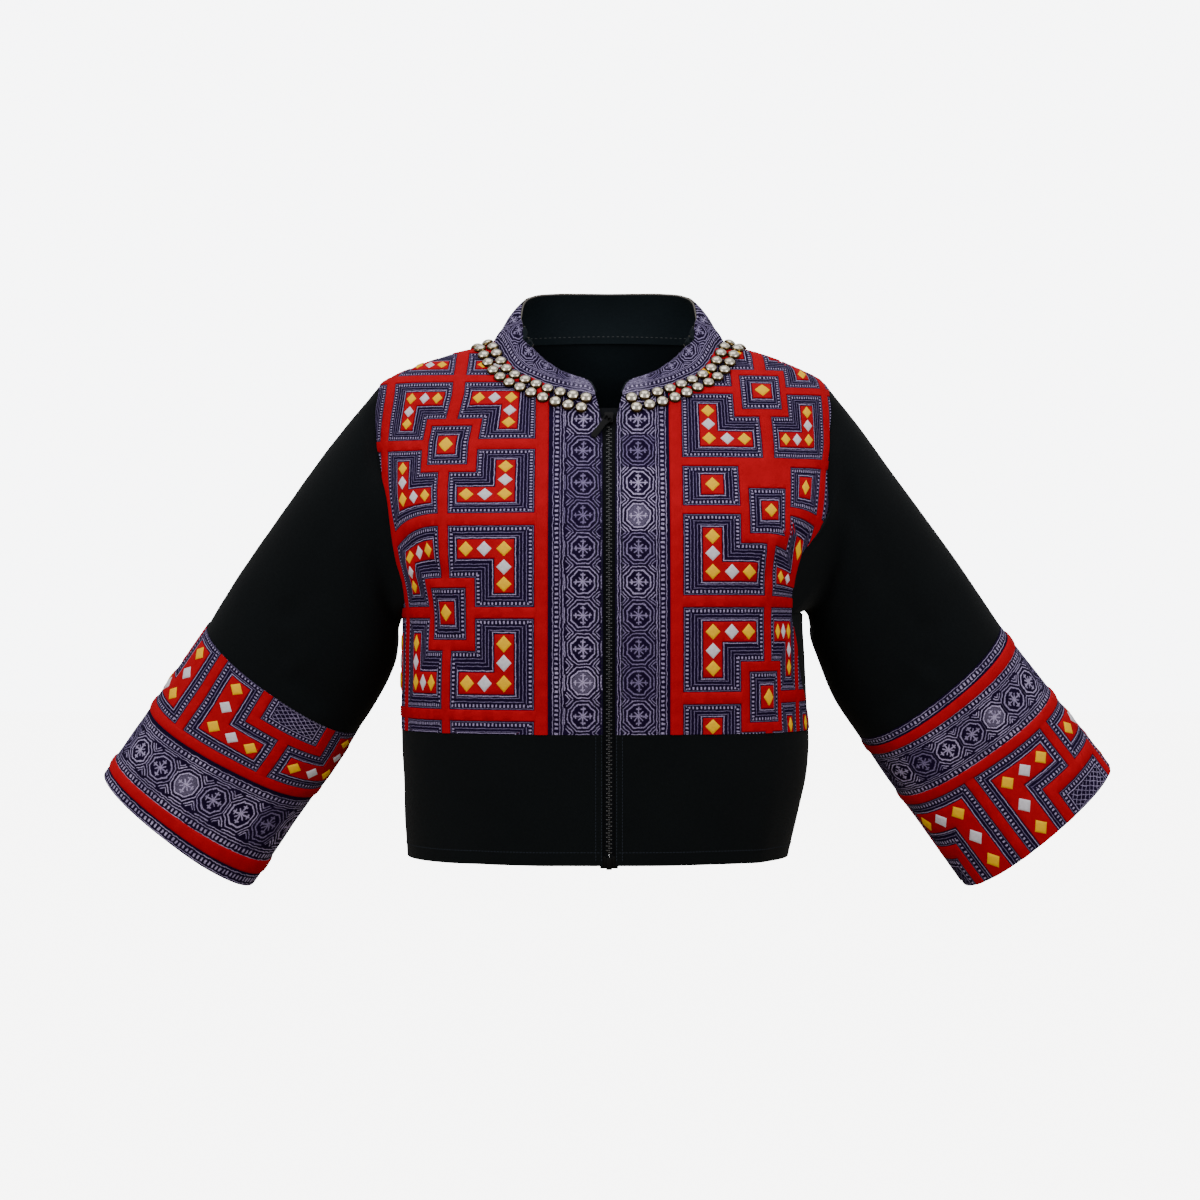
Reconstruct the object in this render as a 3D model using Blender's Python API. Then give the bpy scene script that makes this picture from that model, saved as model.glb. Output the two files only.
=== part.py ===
"""Hmong embroidered jacket, worn shape with no wearer: cropped, zipped, stand collar, wide sleeves.

Frame: +X to the wearer's left, +Y to the back, +Z up. The origin lies between the two points
where the shoulder seams meet the neck. Sizes below are in millimetres and are scaled to metres
where each mesh is made.
"""

import math

import bmesh
import bpy
import numpy as np

MM = 0.001

# Cloth and seams
BLACK_CLOTH = 1.6
PATTERNED_CLOTH = 2.0
TAPE_CLOTH = 1.0
SEAM_GAP = 0.4
LAID_ON = 0.3
RIGHT, LEFT = -1, 1
FRONT, BACK = -1, 1

# Body, as level sections: height, half width on each side, depth of front and back from the side line.
SQUARENESS = 2.6
BODY = (
    # height, right, left, front, back
    (8, 104, 104, 8, 55),
    (3, 107, 107, 9, 58),
    (-3, 120, 119, 17, 61),
    (-9, 145, 141, 24.5, 63.5),
    (-15, 163, 158, 30.5, 66),
    (-20, 175, 169, 35.5, 68),
    (-26, 191, 183, 41, 70),
    (-35, 209, 199, 50, 74),
    (-48, 218, 209, 63, 80),
    (-62, 222, 214, 72, 85),
    (-80, 224, 216, 82, 90),
    (-120, 222, 216, 106, 98),
    (-160, 214, 213, 128, 101),
    (-200, 203, 197, 140, 99),
    (-240, 191, 181, 145, 95),
    (-290, 191, 181, 147, 92),
    (-345, 191.5, 183.5, 144, 92),
    (-370, 191, 185, 142, 93),
    (-400, 189, 182.5, 140, 94),
    (-440, 188, 173.5, 137, 96),
    (-475, 186, 165, 134, 97),
)
SHOULDER_Z = -35
WAIST_Z = -356
HEM_Z = -472

# Where each armhole and side seam runs, as an angle round the body from the centre front.
ARMHOLE = {
    RIGHT: (
        # height, front angle, back angle
        (-35, 90, 90),
        (-45, 77, 102),
        (-60, 73, 106),
        (-85, 69.5, 110),
        (-115, 67, 113),
        (-145, 64.5, 115),
        (-175, 67, 115),
        (-200, 69, 113),
        (-225, 70.5, 108),
        (-240, 75, 101),
        (-247, 82, 96),
        (-250, 90, 90),
    ),
    LEFT: (
        (-35, 90, 90),
        (-45, 76.5, 102),
        (-60, 71, 106),
        (-85, 66, 110),
        (-115, 64.5, 113),
        (-145, 65, 115),
        (-160, 65, 115),
        (-175, 62, 114.5),
        (-200, 57, 113),
        (-225, 59.5, 106),
        (-240, 62, 96),
        (-247, 63, 85),
        (-250, 63, 63),
    ),
}
SIDE_SEAM = {
    RIGHT: ((-250, 90), (-475, 90)),
    LEFT: (
        (-250, 63), (-270, 66), (-300, 70), (-320, 74), (-340, 81), (-356, 87), (-375, 89.5),
        (-400, 90), (-475, 90),
    ),
}

# Neck seam: front curve as half width against height, back curve rising to the nape.
NECK_FRONT = (
    # half width, height
    (12.7, -51.5),
    (22, -48.6),
    (33, -47),
    (45, -44.1),
    (57, -40.5),
    (69, -35),
    (79, -30.5),
    (87, -24.5),
    (92, -18),
    (96, -11),
    (101, -2),
    (106, 3),
)
NECK_HALF_WIDTH = 106
NECK_SIDE_Z = 3
NAPE_Z = 8

# Front edges: half gap between the two fronts against height. The zip shows in the gap.
FRONT_EDGE = ((-51.5, 12.7), (-60, 10), (-72, 7.2), (-90, 5.8), (-110, 5.6), (-475, 5.6))
TAPE_WIDTH = 11
TAPE_START = 54
TAPE_END_GAP = 1

# Stand collar: points of its top edge, each above a point of the neck seam.
COLLAR_TOP = (
    # seam half width, seam side, top x, top y, top z
    (12.9, FRONT, 14, -50, -47.5),
    (17.5, FRONT, 17.4, -36, -40.8),
    (24, FRONT, 22.3, -28.5, -34.5),
    (33, FRONT, 32, -25.5, -30.2),
    (45, FRONT, 44.5, -20, -24.8),
    (57, FRONT, 52, -16.5, -19.5),
    (69, FRONT, 59, -12.5, -14.5),
    (79, FRONT, 65.5, -8.5, -8),
    (87, FRONT, 71, -6, -2),
    (92, FRONT, 75, -3, 5),
    (96, FRONT, 78, -1, 12),
    (101, FRONT, 80.3, 5, 20.5),
    (105.6, BACK, 82, 14, 32),
    (103, BACK, 80.5, 25, 42),
    (92, BACK, 72, 37, 49),
    (70, BACK, 52, 45.5, 52),
    (36, BACK, 27, 50, 52.6),
    (0, BACK, 0, 51, 52.4),
)
COLLAR_BOW = 4.5
COLLAR_OUTER = 1.4
COLLAR_FACING = 1.2
COLLAR_LEVELS = 3
BATIK_COLLAR_SHARE = 0.62

# Studs: two rows round the neck, below the seam.
STUD_REACH = 10.5
STUD_HEIGHT = 2.8
STUD_ROWS = {"stud_row_upper": 6.8, "stud_row_lower": 18.2}

# Sleeves, as rings across the arm: distance down the sleeve, ends of the ring, depth, centre, tilt.
SLEEVE = {
    RIGHT: (
        # along, outer x, outer z, inner x, inner z, depth, centre y, front lower by
        (28, 232, -62, 195.5, -263, 118, -2, 2),
        (66, 262, -100, 197, -281, 121, 0, 5),
        (112, 300, -152, 200.5, -299, 120, 3, 9),
        (160, 336, -203, 214, -327, 118, 7, 13),
        (215, 372, -258, 234, -358, 115, 12, 16),
    ),
    LEFT: (
        (28, 223, -65, 187.5, -262, 118, -2, 2),
        (66, 250, -101, 188.5, -274, 121, 0, 5),
        (112, 287, -152, 197, -296, 120, 3, 9),
        (160, 325, -203, 211, -329, 118, 7, 13),
        (215, 362, -257, 233, -363, 115, 12, 16),
    ),
}
CUFF = {
    RIGHT: (
        (0, 372, -258, 234, -358, 115, 12, 16),
        (58, 406, -306, 256, -393, 114, 15, 15),
        (115, 439, -352, 288, -437, 109, 19, 12),
        (172, 471, -397, 333, -503, 104, 23, 10),
    ),
    LEFT: (
        (0, 362, -257, 233, -363, 115, 12, 16),
        (55, 397, -301, 258, -400, 114, 15, 15),
        (110, 432, -345, 292, -446, 109, 19, 12),
        (165, 468, -391, 333, -503, 104, 23, 10),
    ),
}
RING_SQUARENESS = 2.2
# Red strips laid round each cuff, as shares of the cuff's length.
CUFF_STRIPS = {RIGHT: ((0.484, 0.545), (0.884, 0.943)), LEFT: ((0.070, 0.139), (0.466, 0.527))}

# Moulded zip
ZIP_TOP_Z = -79
ZIP_BOTTOM_Z = -470
CHAIN_WIDTH = 5.7
CHAIN_SETBACK = (-1.7, -4.1)
ZIP_TAPE_WIDTH = 14
ZIP_TAPE_SETBACK = (-2.5, -3.5)
SLIDER_Z = -73
SLIDER_SIZE = (8.6, 3.4, 11.0)
SLIDER_POST = (4.6, 1.9, 6.0)
BRIDGE_SIZE = (1.5, 1.0, 5.4)
BRIDGE_RISE = 3.0
PULL_PIVOT_RISE = 1.05
PULL_LENGTH = 26
PULL_HEAD_WIDTH = 7.4
PULL_WIDTH = 5.6
PULL_THICKNESS = 1.2
PULL_EYE = (5.2, 4.8)
PULL_SWING = math.radians(34)

# Grid steps
PANEL_COLUMNS = 8
BACK_COLUMNS = 14
NECK_STEPS = 22
NAPE_ROWS = (7.5, 6.6, 5.6, 4.6, 3.7, 3.1)
SHOULDER_ROWS = (2.4, -2, -7, -12, -17, -23, -29)
ARMHOLE_ROWS = (-35, -40, -46, -55, -70, -92, -118, -146, -174, -200, -225, -242, -250)
LOWER_ROWS = (-285, -320, -355.8)
HEM_ROWS = (-356.2, -395, -435, HEM_Z)
BODY_ROWS = SHOULDER_ROWS + ARMHOLE_ROWS
BAND_ROWS = ARMHOLE_ROWS[3:] + LOWER_ROWS

# Colours: red, green, blue, roughness
COLOURS = {
    "black_cloth": (0.010, 0.012, 0.013, 0.9),
    "collar_cloth": (0.011, 0.016, 0.020, 0.9),
    "batik": (0.045, 0.030, 0.115, 0.85),
    "patchwork": (0.30, 0.03, 0.06, 0.85),
    "red_tape": (0.72, 0.016, 0.020, 0.8),
    "zip_cloth": (0.012, 0.012, 0.013, 0.85),
    "zip_plastic": (0.015, 0.015, 0.016, 0.4),
    "stud_metal": (0.72, 0.68, 0.60, 0.25),
}


# ---------------------------------------------------------------- scene and meshes

def clear_scene():
    for obj in list(bpy.data.objects):
        bpy.data.objects.remove(obj, do_unlink=True)


def material(name):
    found = bpy.data.materials.get(name)
    if found:
        return found
    red, green, blue, roughness = COLOURS[name]
    made = bpy.data.materials.new(name)
    made.use_nodes = True
    shader = made.node_tree.nodes["Principled BSDF"]
    shader.inputs["Base Color"].default_value = (red, green, blue, 1)
    shader.inputs["Roughness"].default_value = roughness
    shader.inputs["Metallic"].default_value = 1.0 if name == "stud_metal" else 0.0
    made.diffuse_color = (red, green, blue, 1)
    return made


def add_object(name, mesh_data, finish):
    """One node from a bmesh in metres, its faces turned outwards."""
    bmesh.ops.recalc_face_normals(mesh_data, faces=mesh_data.faces)
    mesh = bpy.data.meshes.new(name)
    mesh_data.to_mesh(mesh)
    mesh_data.free()
    mesh.shade_smooth()
    mesh.set_sharp_from_angle(angle=math.radians(40))
    mesh.materials.append(material(finish))
    obj = bpy.data.objects.new(name, mesh)
    bpy.context.scene.collection.objects.link(obj)
    return obj


def wall(name, outer, inner, finish, tube=False):
    """A sheet of cloth between two grids of points, rows by columns. A tube closes on itself."""
    rows, columns = outer.shape[:2]
    shell = bmesh.new()
    faces = [
        [[shell.verts.new(point * MM) for point in row] for row in side] for side in (outer, inner)
    ]
    last = columns if tube else columns - 1
    for row in range(rows - 1):
        for column in range(last):
            after = (column + 1) % columns
            for side in faces:
                shell.faces.new(
                    (side[row][column], side[row][after], side[row + 1][after], side[row + 1][column])
                )
    rims = [[side[edge] for side in faces] for edge in (0, rows - 1)]
    for near, far in rims:
        for column in range(last):
            after = (column + 1) % columns
            shell.faces.new((near[column], near[after], far[after], far[column]))
    if not tube:
        for edge in (0, columns - 1):
            near, far = ([side[row][edge] for row in range(rows)] for side in faces)
            for row in range(rows - 1):
                shell.faces.new((near[row], near[row + 1], far[row + 1], far[row]))
    return add_object(name, shell, finish)


# ---------------------------------------------------------------- curves through tables

def smooth(at, knots, values):
    """Cubic curve through rows of values, with slopes from the neighbouring rows."""
    knots = np.asarray(knots, float)
    values = np.asarray(values, float)
    if knots[0] > knots[-1]:
        knots, values = knots[::-1], values[::-1]
    steps = np.diff(knots)
    secants = np.diff(values, axis=0) / steps.reshape((-1,) + (1,) * (values.ndim - 1))
    slopes = np.concatenate([secants[:1], (secants[:-1] + secants[1:]) / 2, secants[-1:]])
    at = np.clip(np.asarray(at, float), knots[0], knots[-1])
    cell = np.clip(np.searchsorted(knots, at, side="right") - 1, 0, len(steps) - 1)
    span = steps[cell]
    t = (at - knots[cell]) / span
    shape = t.shape + (1,) * (values.ndim - 1)
    t, span = t.reshape(shape), span.reshape(shape)
    return (
        values[cell] * (1 + 2 * t) * (1 - t) ** 2
        + values[cell + 1] * t * t * (3 - 2 * t)
        + slopes[cell] * span * t * (1 - t) ** 2
        + slopes[cell + 1] * span * t * t * (t - 1)
    )


def column(table, number):
    return [row[number] for row in table]


def body_size(side, z):
    """Half width, front depth and back depth of the section at a height."""
    heights = column(BODY, 0)
    width = smooth(z, heights, column(BODY, 1 if side == RIGHT else 2))
    return width, smooth(z, heights, column(BODY, 3)), smooth(z, heights, column(BODY, 4))


def body_point(side, angle, z):
    """Point of the body's outer face, at an angle from the centre front and a height."""
    angle, z = np.broadcast_arrays(np.asarray(angle, float), np.asarray(z, float))
    width, front, back = body_size(side, z)
    sine, cosine = np.sin(np.radians(angle)), np.cos(np.radians(angle))
    power = 2 / SQUARENESS
    x = side * width * np.sign(sine) * np.abs(sine) ** power
    depth = np.where(cosine > 0, front, back)
    y = -depth * np.sign(cosine) * np.abs(cosine) ** power
    return np.stack([x, y, z], axis=-1)


def body_normal(side, angle, z):
    turn, drop = 0.6, 1.0
    across = body_point(side, angle + turn, z) - body_point(side, angle - turn, z)
    down = body_point(side, angle, z - drop) - body_point(side, angle, z + drop)
    normal = np.cross(across, down) * -side
    return normal / np.linalg.norm(normal, axis=-1, keepdims=True)


def angle_at(side, x, z, half=FRONT):
    """Angle round the body of the point at a distance from the centre line."""
    width = body_size(side, z)[0]
    share = np.clip(np.asarray(x, float) / width, 0, 1) ** (SQUARENESS / 2)
    angle = np.degrees(np.arcsin(share))
    return angle if half == FRONT else 180 - angle


def spread(side, start, end, z, count):
    """Angles from start to end at one height, evenly spaced along the cloth."""
    dense = np.linspace(start, end, 241)
    points = body_point(side, dense, z)
    steps = np.linalg.norm(np.diff(points, axis=0), axis=1)
    length = np.concatenate([[0], np.cumsum(steps)])
    trim = min(SEAM_GAP / 2 / max(length[-1], 1e-6), 0.2)
    return np.interp(np.linspace(trim, 1 - trim, count) * length[-1], length, dense)


def neck_angle(side, x, half):
    """Angle and height of the neck seam at a distance from the centre line."""
    if half == FRONT:
        z = smooth(x, column(NECK_FRONT, 0), column(NECK_FRONT, 1))
    else:
        z = NAPE_Z - (NAPE_Z - NECK_SIDE_Z) * (np.asarray(x) / NECK_HALF_WIDTH) ** 2
    return angle_at(side, x, z, half), z


def seam_angle(side, z, half):
    """Where a panel ends at a height: shoulder seam, armhole or side seam."""
    if z >= SHOULDER_Z:
        return 90.0
    table = ARMHOLE[side]
    if z > table[-1][0]:
        return float(smooth(z, column(table, 0), column(table, 1 if half == FRONT else 2)))
    return float(smooth(z, column(SIDE_SEAM[side], 0), column(SIDE_SEAM[side], 1)))


# ---------------------------------------------------------------- body panels

def body_wall(name, side, angles, heights, offsets, finish):
    points = body_point(side, angles, heights)
    normals = body_normal(side, angles, heights)
    near, far = offsets
    return wall(name, points + normals * near, points + normals * far, finish)


def front_panel(side, label):
    """Patterned front, from the red tape to the armhole and the side seam."""
    angles, heights = [], []
    seam_x = TAPE_START + TAPE_WIDTH / 2
    for z in BODY_ROWS + LOWER_ROWS:
        neck_x = float(smooth(z, column(NECK_FRONT, 1), column(NECK_FRONT, 0)))
        start = angle_at(side, max(seam_x, neck_x if z > NECK_FRONT[0][1] else 0), z)
        angles.append(spread(side, start, seam_angle(side, z, FRONT), z, PANEL_COLUMNS))
        heights.append(np.full(PANEL_COLUMNS, z))
    body_wall(
        f"front_panel_{label}", side, np.array(angles), np.array(heights), (0, -PATTERNED_CLOTH),
        "patchwork",
    )


def upright_grid(side, edges, rows, top_gap):
    """Angles and heights of a strip down the front, its top row following the neck seam."""
    heights = np.repeat(np.array((0,) + rows, float)[:, None], edges.shape[1], axis=1)
    heights[0] = smooth(edges[0], column(NECK_FRONT, 0), column(NECK_FRONT, 1)) - top_gap
    return angle_at(side, edges, heights), heights


def front_edge(z):
    return smooth(z, column(FRONT_EDGE, 0), column(FRONT_EDGE, 1))


def front_band(side, label):
    """Batik band beside the zip."""
    far = TAPE_START + TAPE_WIDTH / 2 - SEAM_GAP
    near = front_edge(np.array((NECK_FRONT[0][1],) + BAND_ROWS))[:, None]
    edges = near + (far - near) * np.linspace(0, 1, 5)
    grid = upright_grid(side, edges, BAND_ROWS, SEAM_GAP / 2)
    body_wall(f"front_band_{label}", side, *grid, (0, -PATTERNED_CLOTH), "batik")


def red_tape(side, label):
    """Red tape laid over the join of band and panel."""
    rows = ARMHOLE_ROWS[2:3] + BAND_ROWS
    edges = np.tile([TAPE_START, TAPE_START + TAPE_WIDTH], (len(rows) + 1, 1))
    grid = upright_grid(side, edges, rows, TAPE_END_GAP)
    body_wall(f"red_tape_{label}", side, *grid, (LAID_ON + TAPE_CLOTH, LAID_ON), "red_tape")


def waist_band(side, label):
    """Plain band below the waist seam, from the zip to the side seam."""
    angles, heights = [], []
    for z in HEM_ROWS:
        start = angle_at(side, front_edge(z), z)
        angles.append(spread(side, start, seam_angle(side, z, FRONT), z, PANEL_COLUMNS + 2))
        heights.append(np.full(PANEL_COLUMNS + 2, z))
    body_wall(
        f"waist_band_{label}", side, np.array(angles), np.array(heights), (0, -BLACK_CLOTH),
        "black_cloth",
    )


def back_panel():
    """Plain back in one piece, from the nape to the hem."""
    half_columns = BACK_COLUMNS // 2 + 1
    outer, inner = [], []
    for z in NAPE_ROWS + BODY_ROWS + LOWER_ROWS[:-1] + (WAIST_Z,) + HEM_ROWS[1:]:
        row = []
        for side in (RIGHT, LEFT):
            if z > NECK_SIDE_Z:
                neck_x = NECK_HALF_WIDTH * math.sqrt((NAPE_Z - z) / (NAPE_Z - NECK_SIDE_Z))
                end = angle_at(side, neck_x, z, BACK)
            else:
                end = seam_angle(side, z, BACK)
            angles = spread(side, 180, end, z, half_columns)
            angles[0] = 180
            row.append((side, angles))
        line = [(RIGHT, angle) for angle in row[0][1][::-1]] + [(LEFT, angle) for angle in row[1][1][1:]]
        points = np.array([body_point(side, angle, z) for side, angle in line])
        normals = np.array([body_normal(side, angle, z) for side, angle in line])
        outer.append(points)
        inner.append(points - normals * BLACK_CLOTH)
    wall("back_panel", np.array(outer), np.array(inner), "black_cloth")


# ---------------------------------------------------------------- pieces joined at a seam

def unit(vectors):
    return vectors / np.linalg.norm(vectors, axis=-1, keepdims=True)


def start_at_seam(edge, beyond, normal, heading):
    """First row of a piece sewn to a panel's edge: its outer points and the way its wall goes in.

    beyond points past the panel's edge, normal out of the panel, and heading along the new piece.
    """
    angle = np.arctan2((heading * normal).sum(-1), (heading * beyond).sum(-1))
    shift = np.clip(angle, 0, math.pi / 2)[:, None]
    turned = np.maximum(angle - math.pi / 2, -math.pi / 2)[:, None]
    outer = edge + SEAM_GAP * (np.cos(shift) * beyond + np.sin(shift) * normal)
    return outer, unit(np.cos(turned) * beyond + np.sin(turned) * normal)


def grid_normals(grid, tube, outward):
    """Normals of a grid of points, turned to the side that outward(points) points to."""
    if tube:
        across = np.roll(grid, -1, axis=1) - np.roll(grid, 1, axis=1)
    else:
        across = np.gradient(grid, axis=1)
    normals = unit(np.cross(np.gradient(grid, axis=0), across))
    flip = (normals * outward(grid)).sum(-1) < 0
    normals[flip] *= -1
    return normals


# ---------------------------------------------------------------- sleeves and cuffs

def armhole_loop(side):
    """Armhole from the shoulder down the front and up the back, on the panels' own rows.

    Gives its points, the panel's normals, the ways past its edge, and each point's turn round the arm.
    """
    table = ARMHOLE[side]
    front, back = (
        smooth(ARMHOLE_ROWS, column(table, 0), column(table, number)) for number in (1, 2)
    )
    angles = np.concatenate([front, back[-2:0:-1]])
    levels = np.concatenate([ARMHOLE_ROWS, ARMHOLE_ROWS[-2:0:-1]])
    edge = body_point(side, angles, levels)
    normal = body_normal(side, angles, levels)
    along = unit(np.roll(edge, -1, axis=0) - np.roll(edge, 1, axis=0))
    beyond = unit(np.cross(along, normal))
    beyond *= np.sign(((edge.mean(axis=0) - edge) * beyond).sum())
    runs = np.linalg.norm(np.roll(edge, -1, axis=0) - edge, axis=1)
    length = np.concatenate([[0], np.cumsum(runs)[:-1]])
    bottom = length[len(ARMHOLE_ROWS) - 1 if side == RIGHT else len(ARMHOLE_ROWS) + 1]
    turns = np.interp(length, [0, bottom, runs.sum()], [0, math.pi, 2 * math.pi])
    return edge, normal, beyond, turns


def ring(side, row, turn):
    """Points of one ring across the sleeve, from its outer end round the front."""
    _, outer_x, outer_z, inner_x, inner_z, depth, centre_y, tilt = row
    outer = np.array([side * outer_x, centre_y, outer_z], float)
    inner = np.array([side * inner_x, centre_y, inner_z], float)
    power = 2 / RING_SQUARENESS
    out = np.sign(np.cos(turn)) * np.abs(np.cos(turn)) ** power
    forward = np.sign(np.sin(turn)) * np.abs(np.sin(turn)) ** power
    across = (outer - inner) / 2
    down = np.cross(np.array([0, 1, 0]), across)
    down = unit(down if down[2] < 0 else -down)
    return (
        (outer + inner) / 2
        + out[:, None] * across
        + forward[:, None] * (np.array([0, -depth / 2, 0]) + tilt * down)
    )


def rings_between(side, rows, turns, at, first=None):
    """Smooth rings through the named ones, starting from the armhole where first is given."""
    knots = column(rows, 0)
    values = [ring(side, row, turns) for row in rows]
    if first is not None:
        knots, values = [0] + knots, [first] + values
    return smooth(np.asarray(at, float), knots, np.array(values))


def around(grid):
    """Normals of a tube, pointing away from its middle."""
    centres = grid.mean(axis=1, keepdims=True)
    return grid_normals(grid, True, lambda points: points - centres)


def sleeve(side, label):
    """Plain sleeve, from the armhole to the cuff seam."""
    edge, normal, beyond, turns = armhole_loop(side)
    near = rings_between(side, SLEEVE[side], turns, [14], edge)[0]
    start, inwards = start_at_seam(edge, beyond, normal, unit(near - edge))
    length = SLEEVE[side][-1][0]
    at = [14, 38, 70, 112, 160, length - SEAM_GAP / 2]
    grid = np.concatenate([start[None], rings_between(side, SLEEVE[side], turns, at, start)])
    inside = -around(grid)
    inside[0] = inwards
    inside[1] = unit(inside[1] + 0.5 * inwards)
    wall(f"sleeve_{label}", grid, grid + inside * BLACK_CLOTH, "black_cloth", tube=True)


def cuff(side, label):
    """Patterned cuff, with two red strips laid round it."""
    turns = armhole_loop(side)[3]
    length = CUFF[side][-1][0]
    at = np.linspace(SEAM_GAP / 2, length, 5)
    grid = rings_between(side, CUFF[side], turns, at)
    normals = around(grid)
    wall(f"cuff_{label}", grid, grid - normals * PATTERNED_CLOTH, "patchwork", tube=True)
    for number, shares in enumerate(CUFF_STRIPS[side], start=1):
        edges = [length * share for share in shares]
        rows = np.array([edges[0]] + [place for place in at if edges[0] < place < edges[1]] + [edges[1]])
        points, lift = ring_mix(grid, at, rows), unit(ring_mix(normals, at, rows))
        wall(
            f"cuff_strip_{label}_{number}", points + lift * (LAID_ON + TAPE_CLOTH),
            points + lift * LAID_ON, "red_tape", tube=True,
        )


def ring_mix(rings, at, rows):
    """Straight mix of neighbouring rings, so that a strip lies flat on the cuff's own faces."""
    cells = np.clip(np.searchsorted(at, rows, side="right") - 1, 0, len(at) - 2)
    share = ((rows - at[cells]) / (at[cells + 1] - at[cells]))[:, None, None]
    return rings[cells] * (1 - share) + rings[cells + 1] * share


# ---------------------------------------------------------------- collar and studs

def neck_line(side):
    """Dense neck seam from the front corner to the nape: angles, heights and length along it."""
    turn = np.linspace(0, math.pi / 2, 400)
    front_x = NECK_FRONT[0][0] + (NECK_HALF_WIDTH - NECK_FRONT[0][0]) * np.sin(turn)
    front = neck_angle(side, front_x, FRONT)
    back = neck_angle(side, NECK_HALF_WIDTH * np.cos(turn[1:]), BACK)
    angles, heights = (np.concatenate(pair) for pair in zip(front, back))
    steps = np.diff(body_point(side, angles, heights), axis=0)
    return angles, heights, np.concatenate([[0], np.cumsum(np.linalg.norm(steps, axis=1))])


def neck_stations(side):
    """Evenly spaced places on the neck seam: place along it, angles and heights."""
    angles, heights, length = neck_line(side)
    at = np.linspace(0, length[-1], NECK_STEPS + 1)
    return at, np.interp(at, length, angles), np.interp(at, length, heights)


def neck_frame(side, angles, heights):
    """Points, normals and ways past the panels' edge at places on the neck seam."""
    points = body_point(side, angles, heights)
    normals = body_normal(side, angles, heights)
    normals[-1, 0] = 0
    along = unit(np.gradient(points, axis=0))
    along[-1] = (side, 0, 0)
    beyond = unit(np.cross(along, unit(normals)))
    inwards = -points * np.array([1, 1, 0])
    beyond *= np.sign((beyond * inwards).sum(axis=1, keepdims=True))
    return points, unit(normals), beyond


def collar_side(side):
    """Columns of the collar from the centre front to the nape: seam point, top point, wall start."""
    line_angles, line_heights, length = neck_line(side)
    knots = []
    for x, half, *_ in COLLAR_TOP:
        angle, z = neck_angle(side, x, half)
        gaps = np.abs(line_angles - angle) + np.abs(line_heights - z)
        knots.append(length[int(np.argmin(gaps))])
    at, angles, heights = neck_stations(side)
    top = smooth(at, knots, [(side * x, y, z) for _, _, x, y, z in COLLAR_TOP])
    points, normals, beyond = neck_frame(side, angles, heights)
    start, inwards = start_at_seam(points, beyond, normals, unit(top - points))
    return start, top, inwards


def collar_grid():
    """Whole collar from the right front corner round the nape to the left front corner."""
    base, top, first_in = (
        np.concatenate([right, left[-2::-1]])
        for right, left in zip(collar_side(RIGHT), collar_side(LEFT))
    )
    rise = np.linspace(0, 1, COLLAR_LEVELS)[:, None, None]
    flat = base[None] * (1 - rise) + top[None] * rise
    away = unit(flat * np.array([1, 1, 0])) + np.array([0, 0, 1])
    height = np.linalg.norm(top - base, axis=1)[None, :, None]
    bow = COLLAR_BOW * 4 * rise * (1 - rise) * np.clip(height / 34, 0, 1) ** 2
    grid = flat + grid_normals(flat, False, lambda points: away) * bow
    inside = -grid_normals(grid, False, lambda points: away)
    inside[0] = first_in
    return grid, inside


def collar():
    """Batik ends, plain back and plain facing of the stand collar."""
    grid, inside = collar_grid()
    last = grid.shape[1] - 1
    join = round(NECK_STEPS * BATIK_COLLAR_SHARE)
    stretches = (
        ("collar_front_right", 0, join, "batik"),
        ("collar_back", join, last - join, "collar_cloth"),
        ("collar_front_left", last - join, last, "batik"),
    )
    for name, first, end, finish in stretches:
        points = grid[:, first:end + 1].copy()
        if first > 0:
            points[:, 0] += SEAM_GAP / 2 * unit(points[:, 1] - points[:, 0])
        if end < last:
            points[:, -1] += SEAM_GAP / 2 * unit(points[:, -2] - points[:, -1])
        wall(name, points, points + inside[:, first:end + 1] * COLLAR_OUTER, finish)
    near = COLLAR_OUTER + LAID_ON
    wall("collar_facing", grid + inside * near, grid + inside * (near + COLLAR_FACING), "collar_cloth")


def on_body(side, target, angle, z):
    """Angle and height of the point of the body nearest to a target, by a few Newton steps."""
    for _ in range(12):
        here = body_point(side, angle, z)
        turn = (body_point(side, angle + 0.3, z) - body_point(side, angle - 0.3, z)) / 0.6
        drop = (body_point(side, angle, z + 0.3) - body_point(side, angle, z - 0.3)) / 0.6
        ways = np.stack([turn, drop], axis=1)
        step = np.linalg.lstsq(ways.T @ ways + 1e-3 * np.eye(2), ways.T @ (target - here), rcond=None)[0]
        angle = float(angle + np.clip(step[0], -6, 6))
        z = float(z + np.clip(step[1], -6, 6))
    return angle, z


def stud_row(name, away):
    """Plain ring of one row's reach, standing on the panels below the neck seam."""
    low = TAPE_CLOTH + 3 * LAID_ON
    line = []
    for side in (RIGHT, LEFT):
        _, angles, heights = neck_stations(side)
        points, _, beyond = neck_frame(side, angles, heights)
        edges = []
        for reach in (away - STUD_REACH / 2, away + STUD_REACH / 2):
            edge = []
            for place in range(NECK_STEPS + 1):
                target = points[place] - beyond[place] * reach
                angle, z = on_body(side, target, float(angles[place]), float(heights[place]))
                angle = 180.0 if place == NECK_STEPS else angle
                edge.append((body_point(side, angle, z), body_normal(side, angle, z)))
            edges.append(edge)
        line.append(edges)
    right, left = np.array(line)
    whole = np.concatenate([right, left[:, -2::-1]], axis=1).transpose(2, 1, 0, 3)
    points, normals = whole
    wall(name, points + normals * (low + STUD_HEIGHT), points + normals * low, "stud_metal")


# ---------------------------------------------------------------- zip

def front_line(x, heights, offset):
    """Points down the front at a distance from the centre line, moved out by an offset."""
    side = LEFT if x >= 0 else RIGHT
    angles = angle_at(side, abs(x), heights)
    return body_point(side, angles, heights) + body_normal(side, angles, heights) * offset


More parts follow.
